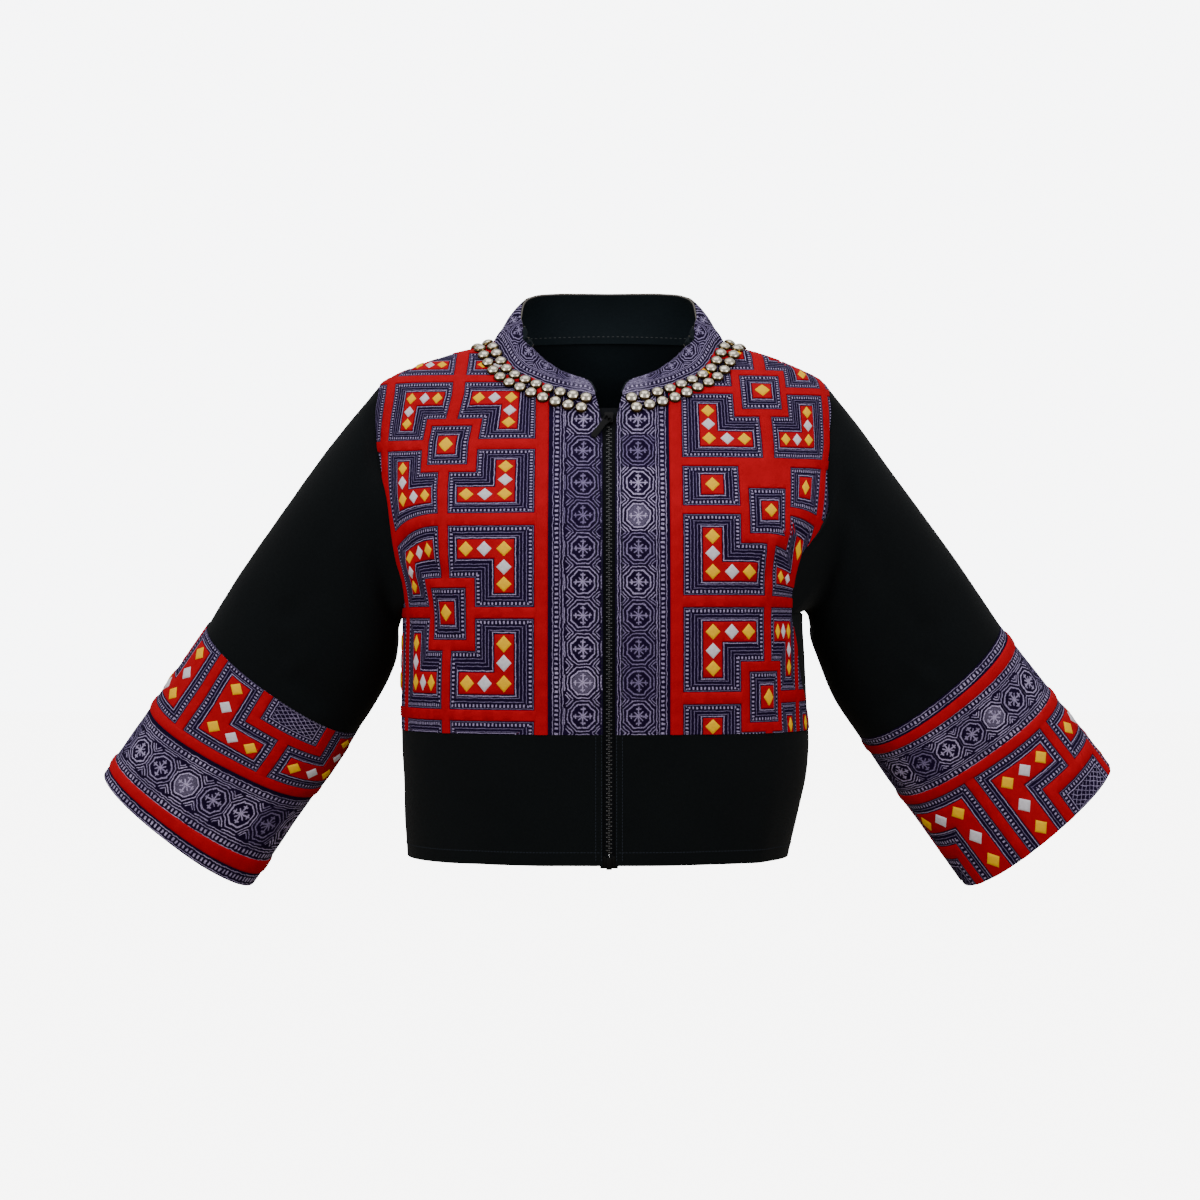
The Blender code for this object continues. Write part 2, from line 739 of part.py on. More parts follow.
def zip_strip(name, x_edges, heights, offsets, finish):
    heights = np.asarray(heights, float)
    outer, inner = (
        np.stack([front_line(x, heights, offset) for x in x_edges], axis=1) for offset in offsets
    )
    wall(name, outer, inner, finish)


def slider_frame():
    """Front of the slider: a point on the zip line, with the ways across, down and out."""
    point = front_line(0.01, np.array([SLIDER_Z]), 0)[0]
    low = front_line(0.01, np.array([SLIDER_Z - 8.0]), 0)[0]
    high = front_line(0.01, np.array([SLIDER_Z + 8.0]), 0)[0]
    down = unit(low - high)
    across = np.array([1.0, 0, 0])
    down = unit(down - across * down[0])
    out = np.cross(across, down)
    out = out if out[1] < 0 else -out
    point[0] = 0
    return point, across, down, out


def prism(outline, bottom, top, frame, finish, name):
    """Solid between two levels of an outline given across and down the zip."""
    point, across, down, out = frame
    solid = bmesh.new()
    rings = []
    for level in (bottom, top):
        rings.append([
            solid.verts.new((point + across * u + down * v + out * level) * MM) for u, v in outline
        ])
    count = len(outline)
    for index in range(count):
        after = (index + 1) % count
        solid.faces.new((rings[0][index], rings[0][after], rings[1][after], rings[1][index]))
    solid.faces.new(rings[0])
    solid.faces.new(rings[1])
    return add_object(name, solid, finish)


def join_union(keeper, others):
    """Boolean union of touching solids into the first one, applied by the modifier stack."""
    for other in others:
        union = keeper.modifiers.new(other.name, "BOOLEAN")
        union.operation = "UNION"
        union.object = other
        other.hide_render = True
        other.display_type = "WIRE"


def slider():
    """Slider body with the small bridge that holds the pull."""
    frame = slider_frame()
    width, thickness, length = SLIDER_SIZE
    top = 1.2
    outline = (
        (-width / 2, -length / 2), (width / 2, -length / 2),
        (width / 2 - 0.6, length / 2), (-width / 2 + 0.6, length / 2),
    )
    body = prism(outline, top - thickness, top, frame, "zip_plastic", "zip_slider")
    bar_width, bar_thickness, bar_length = BRIDGE_SIZE
    half, long = bar_width / 2, bar_length / 2
    deck = ((-half, -long), (half, -long), (half, long), (-half, long))
    parts = [
        prism(deck, top + BRIDGE_RISE - bar_thickness, top + BRIDGE_RISE, frame, "zip_plastic", "deck")
    ]
    for end in (-1, 1):
        near, far = sorted((end * long, end * (long - bar_thickness)))
        leg = ((-half, near), (half, near), (half, far), (-half, far))
        parts.append(
            prism(leg, top - 0.5, top + BRIDGE_RISE - 0.2, frame, "zip_plastic", f"leg_{end}")
        )
    post_width, post_depth, post_length = SLIDER_POST
    low = top - thickness
    post = (
        (-post_width / 2, -post_length / 2), (post_width / 2, -post_length / 2),
        (post_width / 2, post_length / 2), (-post_width / 2, post_length / 2),
    )
    parts.append(prism(post, low - post_depth - 0.2, low + 0.3, frame, "zip_plastic", "post"))
    parts.append(
        prism(outline, low - post_depth - 1.2, low - post_depth, frame, "zip_plastic", "back_plate")
    )
    join_union(body, parts)
    return frame, top


def pull(frame, top):
    """Flat pull tab hanging from the bridge, swung to the wearer's right."""
    point, across, down, out = frame
    pivot = point + out * (top + PULL_PIVOT_RISE)
    along = math.cos(PULL_SWING) * down - math.sin(PULL_SWING) * across
    axis = unit(np.cross(along, out))
    tab_frame = (pivot, axis, along, out)
    head, body_half = PULL_HEAD_WIDTH / 2, PULL_WIDTH / 2
    bar = PULL_THICKNESS / 2
    eye_half, eye_length = PULL_EYE[0] / 2, PULL_EYE[1]
    outline = (
        (-head, -bar), (head, -bar), (head, eye_length + 0.6), (body_half, eye_length + 4),
        (body_half, PULL_LENGTH - 1.5), (body_half - 1.5, PULL_LENGTH),
        (-body_half + 1.5, PULL_LENGTH), (-body_half, PULL_LENGTH - 1.5),
        (-body_half, eye_length + 4), (-head, eye_length + 0.6),
    )
    tab = prism(outline, -bar, bar, tab_frame, "zip_plastic", "zip_pull")
    eye = ((-eye_half, bar), (eye_half, bar), (eye_half, eye_length), (-eye_half, eye_length))
    cutter = prism(eye, -2, 2, tab_frame, "zip_plastic", "eye_cutter")
    cut = tab.modifiers.new("eye", "BOOLEAN")
    cut.operation = "DIFFERENCE"
    cut.object = cutter
    cutter.hide_render = True
    cutter.display_type = "WIRE"


def zip_fastener():
    low, high = ZIP_BOTTOM_Z + 8, ZIP_TOP_Z
    heights = np.linspace(high, low, 15)
    half = CHAIN_WIDTH / 2
    zip_strip("zip_chain", (-half, half), heights, CHAIN_SETBACK, "zip_plastic")
    tape_heights = np.linspace(-62, ZIP_BOTTOM_Z, 15)
    for side, label in ((RIGHT, "right"), (LEFT, "left")):
        edges = [side * (half + LAID_ON), side * (half + ZIP_TAPE_WIDTH)]
        zip_strip(f"zip_tape_{label}", edges, tape_heights, ZIP_TAPE_SETBACK, "zip_cloth")
    box_heights = np.linspace(low - LAID_ON, ZIP_BOTTOM_Z - 2, 2)
    box_half = half
    zip_strip("zip_box", (-box_half, box_half), box_heights, (-0.9, -4.6), "zip_plastic")
    frame, top = slider()
    pull(frame, top)


def build():
    clear_scene()
    for side, label in ((RIGHT, "right"), (LEFT, "left")):
        front_panel(side, label)
        front_band(side, label)
        red_tape(side, label)
        waist_band(side, label)
        sleeve(side, label)
        cuff(side, label)
    back_panel()
    collar()
    for name, away in STUD_ROWS.items():
        stud_row(name, away)
    zip_fastener()


build()
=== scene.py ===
import math

import bpy
import numpy as np
from mathutils import Matrix


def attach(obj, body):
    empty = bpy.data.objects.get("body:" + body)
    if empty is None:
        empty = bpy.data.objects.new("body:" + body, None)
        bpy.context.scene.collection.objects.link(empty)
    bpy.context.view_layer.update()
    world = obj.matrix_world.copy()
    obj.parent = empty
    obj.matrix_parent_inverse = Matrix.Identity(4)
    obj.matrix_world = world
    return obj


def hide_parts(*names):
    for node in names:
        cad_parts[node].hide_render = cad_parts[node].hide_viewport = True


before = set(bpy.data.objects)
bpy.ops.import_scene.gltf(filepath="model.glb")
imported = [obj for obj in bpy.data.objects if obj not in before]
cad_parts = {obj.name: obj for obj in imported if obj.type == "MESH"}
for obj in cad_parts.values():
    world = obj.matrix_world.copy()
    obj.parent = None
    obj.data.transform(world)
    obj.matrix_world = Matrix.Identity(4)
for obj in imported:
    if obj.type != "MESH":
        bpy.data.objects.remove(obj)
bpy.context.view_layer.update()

# ---------------------------------------------------------------- camera, floor and light
# The jacket is seen level and straight on, from a little over two and a half metres away.
# It hangs in wide soft light from both sides and above. Floor and room glow pale straight to the
# camera only; in reflections and as light they are dimmer, and the floor is a warm brown.

camera_data = bpy.data.cameras.new("camera")
camera_data.lens = 83.9
camera_data.sensor_width = 36
camera = bpy.data.objects.new("camera", camera_data)
camera.location = (-0.008, -2.6, -0.2372)
camera.rotation_euler = (math.pi / 2, 0, 0)
bpy.context.scene.collection.objects.link(camera)
bpy.context.scene.camera = camera

world = bpy.data.worlds.new("pale room")
world.use_nodes = True
world.node_tree.nodes["Background"].inputs["Color"].default_value = (0.97, 0.98, 1.0, 1)
seen = world.node_tree.nodes.new("ShaderNodeLightPath")
glow = world.node_tree.nodes.new("ShaderNodeMapRange")
glow.inputs["To Min"].default_value = 0.62
glow.inputs["To Max"].default_value = 7.5
world.node_tree.links.new(seen.outputs["Is Camera Ray"], glow.inputs["Value"])
world.node_tree.links.new(glow.outputs[0], world.node_tree.nodes["Background"].inputs["Strength"])
bpy.context.scene.world = world


def soft_light(name, place, aim, size, power):
    light = bpy.data.lights.new(name, "AREA")
    light.shape = "RECTANGLE"
    light.size, light.size_y = size
    light.energy = power
    lamp = bpy.data.objects.new(name, light)
    lamp.location = place
    away = np.array(place) - np.array(aim)
    lamp.rotation_euler = (
        math.atan2(math.hypot(away[0], away[1]), away[2]), 0, math.atan2(away[1], away[0]) + math.pi / 2
    )
    bpy.context.scene.collection.objects.link(lamp)


middle = (0, 0, -0.23)
soft_light("softbox left", (-1.9, -2.0, 0.9), middle, (1.4, 1.8), 34)
soft_light("softbox right", (1.9, -2.1, 0.7), middle, (1.4, 1.8), 26)
soft_light("overhead", (0, -0.4, 2.2), middle, (2.2, 1.8), 24)
soft_light("behind", (0.3, 2.4, 0.9), middle, (2.0, 1.4), 20)

bpy.ops.mesh.primitive_plane_add(size=14, location=(0, 0, -0.62))
floor = bpy.context.active_object
floor.name = "floor"
floor_paint = bpy.data.materials.new("floor")
floor_paint.use_nodes = True
floor_paint.node_tree.nodes["Principled BSDF"].inputs["Base Color"].default_value = (0.20, 0.155, 0.10, 1)
floor_paint.node_tree.nodes["Principled BSDF"].inputs["Roughness"].default_value = 0.9
floor_paint.node_tree.nodes["Principled BSDF"].inputs["Emission Color"].default_value = (1, 1, 1, 1)
seen = floor_paint.node_tree.nodes.new("ShaderNodeLightPath")
glow = floor_paint.node_tree.nodes.new("ShaderNodeMath")
glow.operation = "MULTIPLY"
glow.inputs[1].default_value = 7.0
floor_paint.node_tree.links.new(seen.outputs["Is Camera Ray"], glow.inputs[0])
floor_paint.node_tree.links.new(
    glow.outputs[0], floor_paint.node_tree.nodes["Principled BSDF"].inputs["Emission Strength"])
floor.data.materials.append(floor_paint)

# ---------------------------------------------------------------- back
# The back is one piece of plain black cotton, nape to hem, with no seam below the neck.
# It is sewn to the fronts and waist bands at the sides and to the sleeves round the armholes.

RIGHT, LEFT = -1, 1
SIDES = ((RIGHT, "right"), (LEFT, "left"))
FRONT, BACK = -1, 1
MM = 0.001
BLACK_CLOTH = 1.6
WAIST, HEM = -356, -472
SQUARENESS = 2.6
# Body as level sections in millimetres.
BODY = (
    # height, right half width, left half width, front depth, back depth
    (8, 104, 104, 8, 55),
    (3, 107, 107, 9, 58),
    (-3, 120, 119, 17, 61),
    (-9, 145, 141, 24.5, 63.5),
    (-15, 163, 158, 30.5, 66),
    (-20, 175, 169, 35.5, 68),
    (-26, 191, 183, 41, 70),
    (-35, 209, 199, 50, 74),
    (-48, 218, 209, 63, 80),
    (-62, 222, 214, 72, 85),
    (-80, 224, 216, 82, 90),
    (-120, 222, 216, 106, 98),
    (-160, 214, 213, 128, 101),
    (-200, 203, 197, 140, 99),
    (-240, 191, 181, 145, 95),
    (-290, 191, 181, 147, 92),
    (-345, 191.5, 183.5, 144, 92),
    (-370, 191, 185, 142, 93),
    (-400, 189, 182.5, 140, 94),
    (-440, 188, 173.5, 137, 96),
    (-475, 186, 165, 134, 97),
)
# Armholes and side seams as angles round the body from the centre front.
ARMHOLE = {
    RIGHT: (
        # height, front angle, back angle
        (-35, 90, 90), (-45, 77, 102), (-60, 73, 106), (-85, 69.5, 110), (-115, 67, 113),
        (-145, 64.5, 115), (-175, 67, 115), (-200, 69, 113), (-225, 70.5, 108), (-240, 75, 101),
        (-247, 82, 96), (-250, 90, 90),
    ),
    LEFT: (
        (-35, 90, 90), (-45, 76.5, 102), (-60, 71, 106), (-85, 66, 110), (-115, 64.5, 113),
        (-145, 65, 115), (-160, 65, 115), (-175, 62, 114.5), (-200, 57, 113), (-225, 59.5, 106),
        (-240, 62, 96), (-247, 63, 85), (-250, 63, 63),
    ),
}
SIDE_SEAM = {
    RIGHT: ((-250, 90), (-475, 90)),
    LEFT: (
        (-250, 63), (-270, 66), (-300, 70), (-320, 74), (-340, 81), (-356, 87), (-375, 89.5),
        (-400, 90), (-475, 90),
    ),
}
NECK_WIDTH, NECK_SIDE_Z, NAPE_Z = 106, 3, 8
# Soft troughs (-) and ridges (+) pressed into the cloth, each from one point to another.
CREASES = (
    # from x, y, z, to x, y, z, half width, height
    (-150, 90, -60, -60, 100, -150, 16, -2.2),
    (150, 90, -70, 50, 100, -140, 15, -2.0),
    (-190, 70, -215, -90, 95, -260, 15, -3.0),
    (188, 70, -220, 80, 95, -275, 17, -2.6),
    (-185, 60, -255, -60, 95, -330, 13, 2.0),
    (186, 60, -250, 70, 95, -320, 14, 2.2),
    (-60, 95, -340, -90, 95, -475, 18, -2.4),
    (40, 95, -320, 70, 95, -475, 20, 2.2),
    (130, 80, -360, 140, 80, -475, 15, -2.4),
    (-140, 85, -370, -150, 80, -475, 14, 2.2),
    (-185, -80, -225, -120, -130, -300, 13, -2.0),
    (-205, -70, -170, -150, -110, -215, 10, -2.6),
    (-200, -75, -195, -140, -120, -232, 8, 1.8),
    (180, -90, -180, 128, -125, -230, 10, -2.2),
    (190, -90, -150, 140, -110, -190, 9, 1.6),
    (-205, -60, -60, -180, -85, -110, 10, -1.8),
    (198, -60, -60, 172, -85, -115, 10, -1.8),
    (-150, -110, -358, -120, -125, -475, 15, -2.0),
    (-70, -142, -362, -60, -138, -475, 18, 1.6),
    (80, -142, -360, 95, -135, -475, 16, -2.2),
    (150, -95, -358, 130, -100, -475, 14, 2.0),
    (-215, -50, -110, -262, -40, -200, 12, -3.4),
    (-215, -30, -170, -290, -45, -250, 11, -3.6),
    (-225, -20, -235, -290, -45, -300, 9, 2.6),
    (-250, 62, -120, -300, 68, -240, 14, -3.2),
    (-220, 66, -200, -290, 76, -300, 11, 3.0),
    (-330, -40, -230, -270, -45, -330, 12, -2.6),
    (205, -60, -120, 250, -45, -210, 12, -3.6),
    (215, -40, -180, 285, -45, -262, 11, -3.4),
    (220, -25, -240, 290, -45, -310, 9, 2.6),
    (245, 62, -125, 290, 68, -235, 14, -3.0),
    (215, 66, -210, 285, 76, -300, 11, 3.0),
    (320, -40, -235, 262, -45, -340, 12, -2.6),
    (-380, -42, -300, -330, -36, -420, 16, -2.0),
    (-430, -30, -370, -370, -28, -470, 17, 1.8),
    (380, -42, -310, 330, -36, -420, 16, -2.0),
    (430, -30, -380, 370, -28, -470, 17, 1.8),
    (-400, 72, -330, -340, 76, -440, 17, -2.4),
    (400, 72, -340, 340, 76, -440, 17, -2.4),
)


def smooth(at, knots, values):
    """Cubic curve through rows of values, with slopes from the neighbouring rows."""
    knots, values = np.asarray(knots, float), np.asarray(values, float)
    if knots[0] > knots[-1]:
        knots, values = knots[::-1], values[::-1]
    steps = np.diff(knots)
    secants = np.diff(values, axis=0) / steps.reshape((-1,) + (1,) * (values.ndim - 1))
    slopes = np.concatenate([secants[:1], (secants[:-1] + secants[1:]) / 2, secants[-1:]])
    at = np.clip(np.asarray(at, float), knots[0], knots[-1])
    cell = np.clip(np.searchsorted(knots, at, side="right") - 1, 0, len(steps) - 1)
    span = steps[cell]
    t = (at - knots[cell]) / span
    shape = t.shape + (1,) * (values.ndim - 1)
    t, span = t.reshape(shape), span.reshape(shape)
    return (
        values[cell] * (1 + 2 * t) * (1 - t) ** 2
        + values[cell + 1] * t * t * (3 - 2 * t)
        + slopes[cell] * span * t * (1 - t) ** 2
        + slopes[cell + 1] * span * t * t * (t - 1)
    )


def column(table, number):
    return [row[number] for row in table]


def unit(vectors):
    return vectors / np.maximum(np.linalg.norm(vectors, axis=-1, keepdims=True), 1e-12)


def length_along(points):
    """How far along a line of points each of them lies."""
    steps = np.linalg.norm(np.diff(points, axis=0), axis=1)
    return np.concatenate([[0], np.cumsum(steps)])


def body_point(side, angle, z):
    angle, z = np.broadcast_arrays(np.asarray(angle, float), np.asarray(z, float))
    heights = column(BODY, 0)
    width = smooth(z, heights, column(BODY, 1 if side == RIGHT else 2))
    front, back = smooth(z, heights, column(BODY, 3)), smooth(z, heights, column(BODY, 4))
    sine, cosine = np.sin(np.radians(angle)), np.cos(np.radians(angle))
    power = 2 / SQUARENESS
    x = side * width * np.sign(sine) * np.abs(sine) ** power
    y = -np.where(cosine > 0, front, back) * np.sign(cosine) * np.abs(cosine) ** power
    return np.stack([x, y, z], axis=-1)


def body_normal(side, angle, z):
    angle, z = np.asarray(angle, float), np.asarray(z, float)
    across = body_point(side, angle + 0.6, z) - body_point(side, angle - 0.6, z)
    down = body_point(side, angle, z - 1) - body_point(side, angle, z + 1)
    return unit(np.cross(across, down) * -side)


def angle_at(side, x, z, half=FRONT):
    width = smooth(z, column(BODY, 0), column(BODY, 1 if side == RIGHT else 2))
    angle = np.degrees(np.arcsin(np.clip(np.asarray(x, float) / width, 0, 1) ** (SQUARENESS / 2)))
    return angle if half == FRONT else 180 - angle


def seam_angle(side, z, half):
    """Where a panel ends at a height: shoulder seam, armhole or side seam."""
    if z >= ARMHOLE[side][0][0]:
        return 90.0
    table = ARMHOLE[side]
    if z > table[-1][0]:
        return float(smooth(z, column(table, 0), column(table, 1 if half == FRONT else 2)))
    return float(smooth(z, column(SIDE_SEAM[side], 0), column(SIDE_SEAM[side], 1)))


def crease(points):
    """How far the cloth stands out from its smooth shape at each point."""
    rise = np.zeros(points.shape[:-1])
    for *line, width, height in CREASES:
        start, end = np.array(line[:3], float), np.array(line[3:], float)
        run = end - start
        length = np.linalg.norm(run)
        share = ((points - start) @ run) / length**2
        held = np.clip(share, 0, 1)
        bend = 5 * np.sin(held * 5 + start[0] * 0.05)
        off = points - start - held[..., None] * run
        gap = np.linalg.norm(off, axis=-1) + 0.25 * bend
        taper = np.sin(np.clip(0.5 * (held + 0.12), 0, 1) * math.pi) ** 0.8
        rise += height * np.exp(-((gap / width) ** 2)) * (0.35 + 0.65 * taper)
    x, y, z = points[..., 0], points[..., 1], points[..., 2]
    rise += 0.35 * np.sin(x / 23 + 0.8 * np.sin(z / 41)) * np.sin(z / 31 + y / 37)
    return rise + 0.18 * np.sin(x / 9.5 + z / 17) * np.sin(z / 12.5 - y / 15)


def spread(side, start, end, z, count):
    """Angles from start to end at one height, evenly spaced along the cloth."""
    dense = np.linspace(start, end, 241)
    length = length_along(body_point(side, dense, np.full(241, z)))
    trim = min(0.2 / max(length[-1], 1e-6), 0.2)
    return np.interp(np.linspace(trim, 1 - trim, count) * length[-1], length, dense)


def make_piece(name, points, faces, uvs, finishes, face_finish, body="jacket"):
    """A named piece from points in millimetres, with its own flat cloth coordinates in metres."""
    mesh = bpy.data.meshes.new(name)
    mesh.from_pydata((np.asarray(points) * MM).tolist(), [], np.asarray(faces).tolist())
    corners = np.empty(len(mesh.loops), np.int32)
    mesh.loops.foreach_get("vertex_index", corners)
    for layer_name, layer_uv in uvs.items():
        layer = mesh.uv_layers.new(name=layer_name)
        layer.data.foreach_set("uv", (np.asarray(layer_uv, float) * MM)[corners].ravel())
    for finish in finishes:
        mesh.materials.append(finish)
    mesh.polygons.foreach_set("material_index", np.asarray(face_finish, np.int32))
    mesh.update()
    mesh.shade_smooth()
    mesh.set_sharp_from_angle(angle=math.radians(45))
    piece = bpy.data.objects.new(name, mesh)
    bpy.context.scene.collection.objects.link(piece)
    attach(piece, body)
    return piece


def quads_of(index):
    """Four-cornered faces between the numbered points of a grid."""
    return np.stack([index[:-1, :-1], index[:-1, 1:], index[1:, 1:], index[1:, :-1]], axis=-1)


def cloth_shell(name, outer, inner, uv, finishes, tube=False):
    """A closed wall of cloth between two grids of points. Its lining side takes the second finish."""
    rows, columns = outer.shape[:2]
    count = rows * columns
    index = np.arange(count).reshape(rows, columns)
    if tube:
        index = np.concatenate([index, index[:, :1]], axis=1)
    front = quads_of(index).reshape(-1, 4)
    rear = front[:, ::-1] + count
    rims = [(index[0], True), (index[-1], False)]
    if not tube:
        rims += [(index[:, 0], False), (index[:, -1], True)]
    edge = []
    for line, turn in rims:
        first, after = line[:-1], line[1:]
        quad = [after, first, first + count, after + count] if turn else [
            first, after, after + count, first + count]
        edge.append(np.stack(quad, axis=-1))
    faces = np.concatenate([front, rear] + edge)
    points = np.concatenate([outer.reshape(-1, 3), inner.reshape(-1, 3)])
    sample = front[len(front) // 3]
    corners = points[sample]
    way = np.cross(corners[1] - corners[0], corners[3] - corners[0])
    if way @ (corners[0] - points[sample[0] + count]) < 0:
        faces = faces[:, ::-1]
    finish = np.concatenate([np.zeros(len(front)), np.ones(len(faces) - len(front))])
    both = np.concatenate([uv.reshape(-1, 2)] * 2)
    return make_piece(name, points, faces, {"cloth": both}, finishes, finish)


def node(tree, kind, **settings):
    made = tree.nodes.new(kind)
    for key, value in settings.items():
        setattr(made, key, value)
    return made


def calc(tree, operation, *values):
    """One sum in a material. Its values are numbers or other nodes' outputs."""
    made = node(tree, "ShaderNodeMath", operation=operation)
    for socket, value in zip(made.inputs, values):
        if isinstance(value, (int, float)):
            socket.default_value = value
        else:
            tree.links.new(value, socket)
    return made.outputs[0]


def noise(tree, vector, scale, detail=2.0):
    made = node(tree, "ShaderNodeTexNoise")
    made.inputs["Scale"].default_value = scale
    made.inputs["Detail"].default_value = detail
    tree.links.new(vector, made.inputs["Vector"])
    return made.outputs["Fac"]


def new_group(name, inputs, outputs):
    group = bpy.data.node_groups.new(name, "ShaderNodeTree")
    for socket_name, kind, default in inputs:
        made = group.interface.new_socket(name=socket_name, in_out="INPUT", socket_type=kind)
        if default is not None:
            made.default_value = default
    for socket_name, kind in outputs:
        group.interface.new_socket(name=socket_name, in_out="OUTPUT", socket_type=kind)
    return group, node(group, "NodeGroupInput").outputs, node(group, "NodeGroupOutput").inputs


# Plain weave: crossing threads with slubs, for every cotton piece.
weave, given, wanted = new_group(
    "plain weave",
    [("Cloth", "NodeSocketVector", None), ("Threads per mm", "NodeSocketFloat", 1.6)],
    [("Height", "NodeSocketFloat"), ("Shade", "NodeSocketFloat")],
)
split = node(weave, "ShaderNodeSeparateXYZ")
weave.links.new(given["Cloth"], split.inputs[0])
turns = calc(weave, "MULTIPLY", given["Threads per mm"], 2000 * math.pi)
warp = calc(weave, "SINE", calc(weave, "MULTIPLY", split.outputs[0], turns))
weft = calc(weave, "SINE", calc(weave, "MULTIPLY", split.outputs[1], turns))
slub = noise(weave, given["Cloth"], 260, 3)
threads = calc(weave, "MULTIPLY_ADD", calc(weave, "ADD", warp, weft), 0.18, 0.5)
weave.links.new(calc(weave, "MULTIPLY_ADD", slub, 0.5, threads), wanted["Height"])
shaded = calc(weave, "MULTIPLY_ADD", slub, 0.7, calc(weave, "MULTIPLY", threads, 0.6))
weave.links.new(shaded, wanted["Shade"])


def use_group(tree, group, **links):
    made = node(tree, "ShaderNodeGroup", node_tree=group)
    for name, value in links.items():
        socket = made.inputs[name.replace("_", " ")]
        if isinstance(value, (int, float)):
            socket.default_value = value
        else:
            tree.links.new(value, socket)
    return made.outputs


def in_mm(tree, vector):
    """The first two parts of a vector in metres, as millimetres."""
    split = node(tree, "ShaderNodeSeparateXYZ")
    tree.links.new(vector, split.inputs[0])
    return [calc(tree, "MULTIPLY", split.outputs[axis], 1000) for axis in (0, 1)]


def mix_colour(tree, share, first, second, blend="MIX"):
    made = node(tree, "ShaderNodeMix", data_type="RGBA", blend_type=blend)
    for socket, value in ((made.inputs[0], share), (made.inputs[6], first), (made.inputs[7], second)):
        if isinstance(value, (int, float)):
            socket.default_value = value
        elif isinstance(value, tuple):
            socket.default_value = (*value, 1)
        else:
            tree.links.new(value, socket)
    return made.outputs[2]


def cloth_base(name, sheen, roughness, threads=1.6):
    """A cotton material with its weave ready: the tree, shader, cloth coordinates and weave."""
    made = bpy.data.materials.new(name)
    made.use_nodes = True
    tree = made.node_tree
    shader = tree.nodes["Principled BSDF"]
    shader.inputs["Roughness"].default_value = roughness
    shader.inputs["Specular IOR Level"].default_value = 0.10
    shader.inputs["Sheen Weight"].default_value = sheen
    shader.inputs["Sheen Roughness"].default_value = 0.5
    place = node(tree, "ShaderNodeUVMap", uv_map="cloth").outputs[0]
    threads_out = use_group(tree, weave, Cloth=place, Threads_per_mm=threads)
    bump = node(tree, "ShaderNodeBump")
    bump.inputs["Strength"].default_value = 0.35
    bump.inputs["Distance"].default_value = 0.0003
    tree.links.new(threads_out["Height"], bump.inputs["Height"])
    tree.links.new(bump.outputs[0], shader.inputs["Normal"])
    return made, tree, shader, place, threads_out


def plain_cotton(name, deep, light, sheen=0.03, roughness=0.94):
    made, tree, shader, place, threads_out = cloth_base(name, sheen, roughness)
    cloudy = noise(tree, place, 14, 3)
    share = calc(tree, "MULTIPLY_ADD", cloudy, 0.5, calc(tree, "MULTIPLY", threads_out["Shade"], 0.45))
    tree.links.new(mix_colour(tree, share, deep, light), shader.inputs["Base Color"])
    return made


black_cotton = plain_cotton("black cotton", (0.0010, 0.0014, 0.0018), (0.0040, 0.0058, 0.0068))
navy_lining = plain_cotton("navy black lining", (0.0026, 0.0050, 0.0066), (0.0072, 0.0122, 0.0156))

rows_down = np.concatenate([
    [7.97, 7.8], np.linspace(7.5, 2.6, 8), np.linspace(1.6, -34, 14), np.linspace(-36, -60, 10),
    np.linspace(-64, -250, 44), np.linspace(-254, HEM, 48),
])
outer, inner, flat = [], [], []
for z in rows_down:
    line = []
    for side in (RIGHT, LEFT):
        if z > NECK_SIDE_Z:
            end = angle_at(side, NECK_WIDTH * math.sqrt((NAPE_Z - z) / (NAPE_Z - NECK_SIDE_Z)), z, BACK)
        else:
            end = seam_angle(side, z, BACK)
        angles = spread(side, 180, end, z, 49)
        angles[0] = 180
        line.append((body_point(side, angles, np.full(49, z)), body_normal(side, angles, np.full(49, z))))
    base, normal = (np.concatenate([line[0][part][::-1], line[1][part][1:]]) for part in (0, 1))
    lifted = base + normal * crease(base)[:, None]
    outer.append(lifted)
    inner.append(lifted - normal * BLACK_CLOTH)
    length = length_along(base)
    flat.append(np.stack([length - length[48], np.full(97, z)], axis=1))
back = cloth_shell("back", np.array(outer), np.array(inner), np.array(flat), [black_cotton, navy_lining])
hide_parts("back_panel")

# ---------------------------------------------------------------- waist bands
# Each front ends in a plain black band below the waist seam, folded at the zip edge.
# It runs from the zip to the side seam and its lower edge is turned up and stitched.

FRONT_EDGE = ((-51.5, 12.7), (-60, 10), (-72, 7.2), (-90, 5.8), (-110, 5.6), (-475, 5.6))


def front_edge(z):
    return smooth(z, column(FRONT_EDGE, 0), column(FRONT_EDGE, 1))


CHART_Z = np.arange(-476.0, 6.0, 2.0)
CHART_U = np.arange(0.0, 352.0, 2.0)
chart = {}
for side in (RIGHT, LEFT):
    dense = np.linspace(0, 112, 337)
    grid = body_point(side, dense[None, :], CHART_Z[:, None])
    length = np.cumsum(np.linalg.norm(np.diff(grid, axis=1), axis=2), axis=1)
    length = np.concatenate([np.zeros((len(CHART_Z), 1)), length], axis=1)
    turned = np.array([np.interp(CHART_U, row, dense) for row in length])
    side_edge = np.array([
        np.interp(seam_angle(side, z, FRONT), dense, row) for z, row in zip(CHART_Z, length)
    ])
    chart[side] = turned, side_edge


def front_base(side, u, z):
    """Front cloth at u millimetres across from the centre line, with no creases, and its normals."""
    turned = chart[side][0]
    row = np.clip((z - CHART_Z[0]) / 2, 0, len(CHART_Z) - 1.001)
    place = np.clip(u / 2, 0, len(CHART_U) - 1.001)
    i, j = row.astype(int), place.astype(int)
    fi, fj = row - i, place - j
    angle = (
        turned[i, j] * (1 - fi) * (1 - fj) + turned[i + 1, j] * fi * (1 - fj)
        + turned[i, j + 1] * (1 - fi) * fj + turned[i + 1, j + 1] * fi * fj
    )
    return body_point(side, angle, z), body_normal(side, angle, z)


